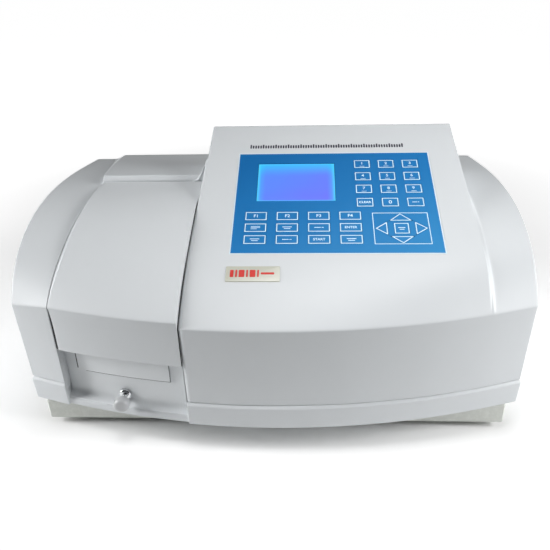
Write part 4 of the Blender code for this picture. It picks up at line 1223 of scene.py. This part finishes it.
@dataclass
class Keypad:
    """Printed film, the keys in its cut-outs, the display and the panel's marks."""

    form: CaseForm = field(default_factory=CaseForm)
    number_x: tuple[float, ...] = (114.5, 145.3, 176.2)
    number_v: tuple[float, ...] = (134.0, 110.5, 87.0, 63.0)
    number_size: tuple[float, float] = (20.6, 15.4)
    function_x: tuple[float, ...] = (-18.5, 19.5, 57.5, 95.3)
    function_v: tuple[float, ...] = (40.0, 20.6, 1.3)
    function_size: tuple[float, float] = (26.5, 14.2)
    pad: tuple[float, float, float, float] = (121.7, 188.0, -6.5, 44.7)
    lcd: tuple[float, float, float, float] = (-20.0, 79.0, 66.3, 136.6)
    film: tuple[float, float, float, float] = (-45.6, 201.0, -20.0, 156.0)
    top: float = 0.45
    thick: float = 1.6
    line: float = 1.05
    line_inset: float = 0.42
    key_corner: float = 0.9
    print_lift: float = 0.02

    def keys(self) -> list[KeyPrint]:
        """Every key with its outline and legend."""
        made: list[KeyPrint] = []
        numbers = ("1", "2", "3", "4", "5", "6", "7", "8", "9", "CLEAR", "0", "")
        functions = ("F1", "F2", "F3", "F4", "", "", "", "ENTER", "", "", "START", "")
        for stem, xs, vs, (wide, high), words in (
                ("number_key", self.number_x, self.number_v, self.number_size, numbers),
                ("function_key", self.function_x, self.function_v, self.function_size, functions)):
            for place, (v, x) in enumerate((v, x) for v in vs for x in xs):
                word = words[place]
                outline = rectangle(x - wide / 2, x + wide / 2, v - high / 2, v + high / 2)
                size = 8.2 if word == "0" else {1: 6.4, 2: 6.6}.get(len(word), 4.9)
                made.append(KeyPrint(f"{stem}_{place + 1:02d}", outline, word, size))
        made += [
            KeyPrint("arrow_key_up", ((140.6, 31.0), (169.4, 31.0), (155.0, 43.8))),
            KeyPrint("arrow_key_down", ((140.6, 6.2), (155.0, -5.6), (169.4, 6.2))),
            KeyPrint("arrow_key_left", ((123.6, 18.8), (138.6, 7.8), (138.6, 29.8))),
            KeyPrint("arrow_key_right", ((171.2, 7.8), (186.4, 18.8), (171.2, 29.8))),
            KeyPrint("enter_key", ((146.2, 9.9), (164.0, 9.9), (164.0, 27.6), (146.2, 27.6))),
        ]
        return made

    def build(self) -> None:
        """Builds the keys, the display, the printed marks and the painted highlight round the film."""
        for key in self.keys():
            self.tile(key)
            self.legend(key)
        self.display()
        self.pad_frame()
        self.film_highlight_border()
        self.title_rule()
        self.badge()

    def tile(self, key: KeyPrint) -> None:
        """One key: rings from its underside round a soft edge to a white outline."""
        floor, top = self.top - self.thick, self.top
        profile = ((None, floor), (0.15, floor), (0.0, floor + 0.15), (0.0, top - 0.18), (0.05, top - 0.06),
                   (0.16, top), (self.line_inset, top), (self.line_inset + self.line, top), (None, top))
        grid = ring_stack(key.corners, self.key_corner, profile, self.form.on_panel)
        piece = Piece(f"{key.name}_tile", *weld([(grid, None)]), Finish.KEY, Finish.WHITE_INK)
        mesh = piece.object.data
        centres = np.empty(len(mesh.polygons) * 3)
        mesh.polygons.foreach_get("center", centres)
        centres = centres.reshape(-1, 3) / MM
        line = grid[6:8]
        printed = (line[:, :-1] + line[:, 1:]).sum(axis=0) / 4.0
        near = np.linalg.norm(centres[:, None] - printed[None], axis=2).min(axis=1)
        mesh.polygons.foreach_set("material_index", (near < 0.02).astype(np.int32))
        piece.keep_edges().hang(key.name, "key_blue", key.name)

    def legend(self, key: KeyPrint) -> None:
        """Prints characters or bars on a key, a hair above its face."""
        x, v = key.middle
        height, number = self.top + self.print_lift, key.name.startswith("number")
        if key.name.startswith("arrow"):
            return
        if key.text:
            underlined = number and len(key.text) == 1 and key.text != "0"
            self.letters(f"{key.name}_print", key.text, key.size, (x, v + 1.2 * underlined), height, key.name)
            if underlined:
                self.bars(f"{key.name}_line", ((x - 3.2, x + 3.2, v - 4.6, v - 3.9),), height,
                          Finish.WHITE_INK, key.name)
            return
        wide = 5.6 if key.name.startswith("function") else 4.2
        rows = (((-wide, wide, 0.5, 1.6), (-wide * 0.7, wide * 0.7, -2.2, -1.2)),
                ((-wide, wide * 0.4, -0.5, 0.5), (wide * 0.55, wide, -0.5, 0.5)),
                ((-wide, wide, 1.5, 2.3), (-wide, wide, -0.4, 0.4), (-wide, wide * 0.3, -2.3, -1.5)))
        pick = sum(ord(letter) for letter in key.name) % len(rows)
        self.bars(f"{key.name}_print", tuple((x + a, x + b, v + c, v + d) for a, b, c, d in rows[pick]),
                  height, Finish.WHITE_INK, key.name)

    def bars(self, name: str, limits: Sequence[tuple[float, float, float, float]], height: float,
             finish: Finish, body: str, thick: float = 0.06) -> None:
        """Flat printed bars, each a thin closed slab with clipped corners."""
        foot = height - thick
        profile = ((None, foot), (0.0, foot), (0.0, height), (None, height))
        grids = [ring_stack(rectangle(*bar), 0.3 * min(bar[1] - bar[0], bar[3] - bar[2]), profile,
                            self.form.on_panel, 3) for bar in limits]
        Piece(name, *join_parts(grids), finish, smooth=False).hang(
            body, "key_blue" if "key" in body else "case_grey")

    def letters(self, name: str, text: str, size: float, middle: tuple[float, float], height: float,
                body: str) -> None:
        """White characters as a thin mesh, centred on middle in the keypad plane."""
        curve = bpy.data.curves.new(name, "FONT")
        curve.body, curve.size = text, size * MM
        curve.align_x, curve.align_y = "CENTER", "CENTER"
        curve.extrude, curve.offset = 0.04 * MM, 0.10 * MM
        curve.resolution_u = 3
        source = bpy.data.objects.new(name + "_curve", curve)
        bpy.context.scene.collection.objects.link(source)
        bpy.context.view_layer.update()
        mesh = bpy.data.meshes.new_from_object(source.evaluated_get(bpy.context.evaluated_depsgraph_get()))
        bpy.data.objects.remove(source)
        at = Vector(self.form.on_panel(middle[0], middle[1], height)) * MM
        mesh.transform(Matrix.Translation(at) @ Matrix.Rotation(self.form.slope, 4, "X"))
        mesh.materials.clear()
        mesh.materials.append(Finish.WHITE_INK.material)
        made = bpy.data.objects.new(name, mesh)
        bpy.context.scene.collection.objects.link(made)
        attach(made, body)
        log.info("%s on %s: %d faces", name, body, len(mesh.polygons))

    def display(self) -> None:
        """Backlit glass behind the film's window."""
        profile = ((None, -9.0), (1.5, -9.0), (0.5, -8.4), (0.5, -0.45), (0.7, -0.25), (None, -0.25))
        grid = ring_stack(rectangle(*self.lcd), 1.0, profile, self.form.on_panel)
        sheet_piece("display_glass", [(grid, None)], Finish.DISPLAY).keep_edges().hang(
            "case", "screen", "display_module")

    def pad_frame(self) -> None:
        """White line printed round the arrow keys."""
        x0, x1, v0, v1 = self.pad
        w = 0.9
        sides = ((x0, x1, v0, v0 + w), (x0, x1, v1 - w, v1), (x0, x0 + w, v0 + w, v1 - w),
                 (x1 - w, x1, v0 + w, v1 - w))
        self.bars("arrow_pad_frame", sides, 0.36, Finish.WHITE_INK, "case")

    def film_highlight_border(self) -> None:
        """Painted highlight along the film's cut edge, all the way round it."""
        x0, x1, v0, v1 = self.film
        w = 1.25
        sides = ((x0 - w, x1 + w, v0 - w, v0), (x0 - w, x1 + w, v1, v1 + w), (x0 - w, x0, v0, v1),
                 (x1, x1 + w, v0, v1))
        self.bars("film_highlight_border", sides, 0.30, Finish.EDGE, "case", 0.8)

    def title_rule(self) -> None:
        """A plain graduated rule printed above the film in place of any wording."""
        foot, half = 168.0, 1.0
        marks = [(x - half, x + half, foot, foot + (7.6 if k % 5 == 0 else 6.0))
                 for k, x in enumerate(-32.0 + np.arange(61) * (202.0 / 60.0))]
        self.bars("panel_graduation", marks, 0.16, Finish.DARK_INK, "case", 0.3)

    def badge(self) -> None:
        """Cream plate with a plain red device: six upright bars and a long flat one."""
        profile = ((None, -0.2), (0.0, -0.2), (0.0, 0.5), (0.15, 0.7), (0.5, 0.8), (None, 0.8))
        grid = ring_stack(rectangle(-48.5, 12.8, -60.6, -40.0), 0.9, profile, self.on_front)
        sheet_piece("badge_plate", [(grid, None)], Finish.BADGE).keep_edges().hang("case", "pale_plastic")
        bars = [rectangle(x0, x1, -55.0, -45.4) for x0, x1 in (
            (-43.6, -39.6), (-37.6, -35.6), (-33.6, -27.2), (-25.2, -23.2), (-21.2, -14.8), (-12.8, -10.8))]
        bars.append(rectangle(-8.8, 6.4, -51.5, -48.9))
        profile = ((None, 0.75), (0.0, 0.75), (0.0, 0.95), (None, 0.95))
        grids = [ring_stack(bar, 0.8, profile, self.on_front) for bar in bars]
        Piece("badge_device", *join_parts(grids), Finish.RED_INK, smooth=False).hang("case", "pale_plastic")

    def on_front(self, x: Array, v: Array, height: float) -> Array:
        """A place on the panel in front of its join, following the curve down."""
        base = self.form.on_panel(x, v, 0.0)
        y = base[..., 1]
        base[..., 2] = self.form.panel(base[..., 0], y) + height
        return base


# ------------------------------------------------------------------ frame nodes
@dataclass
class FrameDress:
    """Gives the CAD nodes that stay visible their procedural materials."""

    finishes: tuple[tuple[Finish, tuple[str, ...]], ...] = (
        (Finish.BASE, ("base_tray",)),
        (Finish.RUBBER, ("foot_1", "foot_2", "foot_3", "foot_4")),
        (Finish.ANODISED, ("cell_carriage", "reference_holder", "filter_wheel")),
        (Finish.FILM, ("keypad_overlay",)),
        (Finish.BOARD, ("control_board", "detector_board")),
        (Finish.CAST, ("monochromator_housing", "grating_table", "power_supply")),
        (Finish.MIRROR, ("source_mirror",)),
        (Finish.STEEL, ("lamp_house", "rear_panel")),
        (Finish.GLASS, ("tungsten_lamp", "deuterium_lamp")),
        (Finish.BLACK, ("fan_frame", "fan_rotor", "mains_inlet", "power_switch")))

    def build(self) -> None:
        """Puts one material in each node's slots."""
        for finish, names in self.finishes:
            for name in names:
                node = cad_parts.get(name)
                if node is None:
                    log.warning("no node %s", name)
                    continue
                node.data.materials.clear()
                node.data.materials.append(finish.material)
                log.info("%s dressed in %s", name, finish.value.name)


# ------------------------------------------------------------------ studio
@dataclass
class Studio:
    """Pale floor with a painted glow, soft boxes and the camera."""

    eye: tuple[float, float, float] = (43.03, -766.97, 541.92)
    right: tuple[float, float, float] = (0.9987015, 0.0446313, -0.0245623)
    up: tuple[float, float, float] = (0.00031735, 0.4766855, 0.8790739)
    ahead: tuple[float, float, float] = (-0.0509427, 0.8779402, -0.4760524)
    lens: float = 40.87
    near_floor_glow: Colour = (0.0, 0.0, 0.0)
    far_floor_glow: Colour = (0.97, 0.97, 0.97)

    def build(self) -> None:
        """Sets the stage."""
        bpy.context.scene.view_settings.view_transform = "Standard"
        self.camera()
        self.floor()
        self.lights()

    def camera(self) -> None:
        """Camera on the instrument's front, a little to the right and above."""
        data = bpy.data.cameras.new("bench_camera")
        data.lens, data.sensor_width = self.lens, 36.0
        data.clip_start, data.clip_end = 0.05, 50.0
        camera = bpy.data.objects.new("bench_camera", data)
        turn = Matrix([self.right, self.up, [-value for value in self.ahead]]).transposed().to_4x4()
        camera.matrix_world = Matrix.Translation(Vector(self.eye) * MM) @ turn
        bpy.context.scene.collection.objects.link(camera)
        bpy.context.scene.camera = camera

    def floor(self) -> None:
        """A wide sheet of white paper with a painted glow: none near the instrument and in front of it,
        bright further off.
        """
        r = Recipe("studio_paper_glow")
        where = r.place()
        fibre = r.noise(where, 300.0, 3.0)
        x, y = r.axis(where, "X"), r.axis(where, "Y")
        # painted light: the paper glows bright away from the instrument, and not at all near it and in front
        # of it
        reach = (((x * x + y * y) ** 0.5 - 0.35) / 0.9).clip() * ((y + 0.55) / 0.35).clip()
        paper = r.finish({"Base Color": r.mix(fibre * 0.3, (0.90, 0.90, 0.90), (0.86, 0.86, 0.86)),
                          "Roughness": fibre * 0.1 + 0.85, "Specular IOR Level": 0.1,
                          "Emission Color": r.mix(reach, self.near_floor_glow, self.far_floor_glow),
                          "Emission Strength": 1.0})
        size = 14.0
        mesh = bpy.data.meshes.new("floor")
        mesh.from_pydata([(x, y, 0.0) for x, y in rectangle(-size, size, -size, size)], [], [(0, 1, 2, 3)])
        mesh.materials.append(paper)
        floor = bpy.data.objects.new("floor", mesh)
        bpy.context.scene.collection.objects.link(floor)
        floor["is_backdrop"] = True

    def soft_box(self, name: str, at: tuple[float, float, float], aim: tuple[float, float, float],
                 size: tuple[float, float], watts: float, spread: float) -> None:
        """A rectangular soft box that looks from one point to another, in metres.

        Args:
            name: the light's name.
            at: its middle.
            aim: the point that it faces.
            size: its sides.
            watts: its power.
            spread: the angle of its honeycomb grid, in degrees.
        """
        data = bpy.data.lights.new(name, "AREA")
        data.spread = math.radians(spread)
        data.shape, data.size, data.size_y = "RECTANGLE", size[0], size[1]
        data.energy = watts
        light = bpy.data.objects.new(name, data)
        light.location = at
        light.rotation_euler = (Vector(aim) - Vector(at)).to_track_quat("-Z", "Y").to_euler()
        bpy.context.scene.collection.objects.link(light)

    def lights(self) -> None:
        """Dim white surroundings, a small box overhead in front and one on each side."""
        world = bpy.data.worlds.new("studio")
        bpy.context.scene.world = world
        world.use_nodes = True
        background = world.node_tree.nodes["Background"]
        background.inputs["Color"].default_value = (0.97, 0.985, 1.0, 1.0)
        background.inputs["Strength"].default_value = 0.03
        for name, at, aim, size, watts, spread in (
                ("overhead_box", (0.12, -0.22, 1.45), (0.10, -0.20, 0.15), (0.9, 0.3), 1.35, 60.0),
                ("right_box", (1.36, -0.44, 0.76), (0.2, -0.05, 0.15), (0.5, 0.8), 9.6, 120.0),
                ("left_box", (-1.4, -0.25, 0.6), (-0.2, -0.05, 0.15), (0.5, 0.7), 9.3, 120.0)):
            self.soft_box(name, at, aim, size, watts, spread)


def corners(bounds: Any) -> list[list[float]]:
    """A box as plain lists."""
    return [[float(value) for value in corner] for corner in bounds]


def main() -> None:
    """Builds the sub-assemblies in order."""
    logging.basicConfig(level=logging.INFO, format="%(name)s: %(message)s")
    before = corners(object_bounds())
    for part in (UpperCase(), LowerCase(), SampleLid(), SampleBay(), Keypad(), FrameDress(), Studio()):
        log.info("building %s", type(part).__name__)
        part.build()
    bpy.context.view_layer.update()
    {"cad": before, "visual": corners(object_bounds())}


if __name__ == "__main__":
    main()
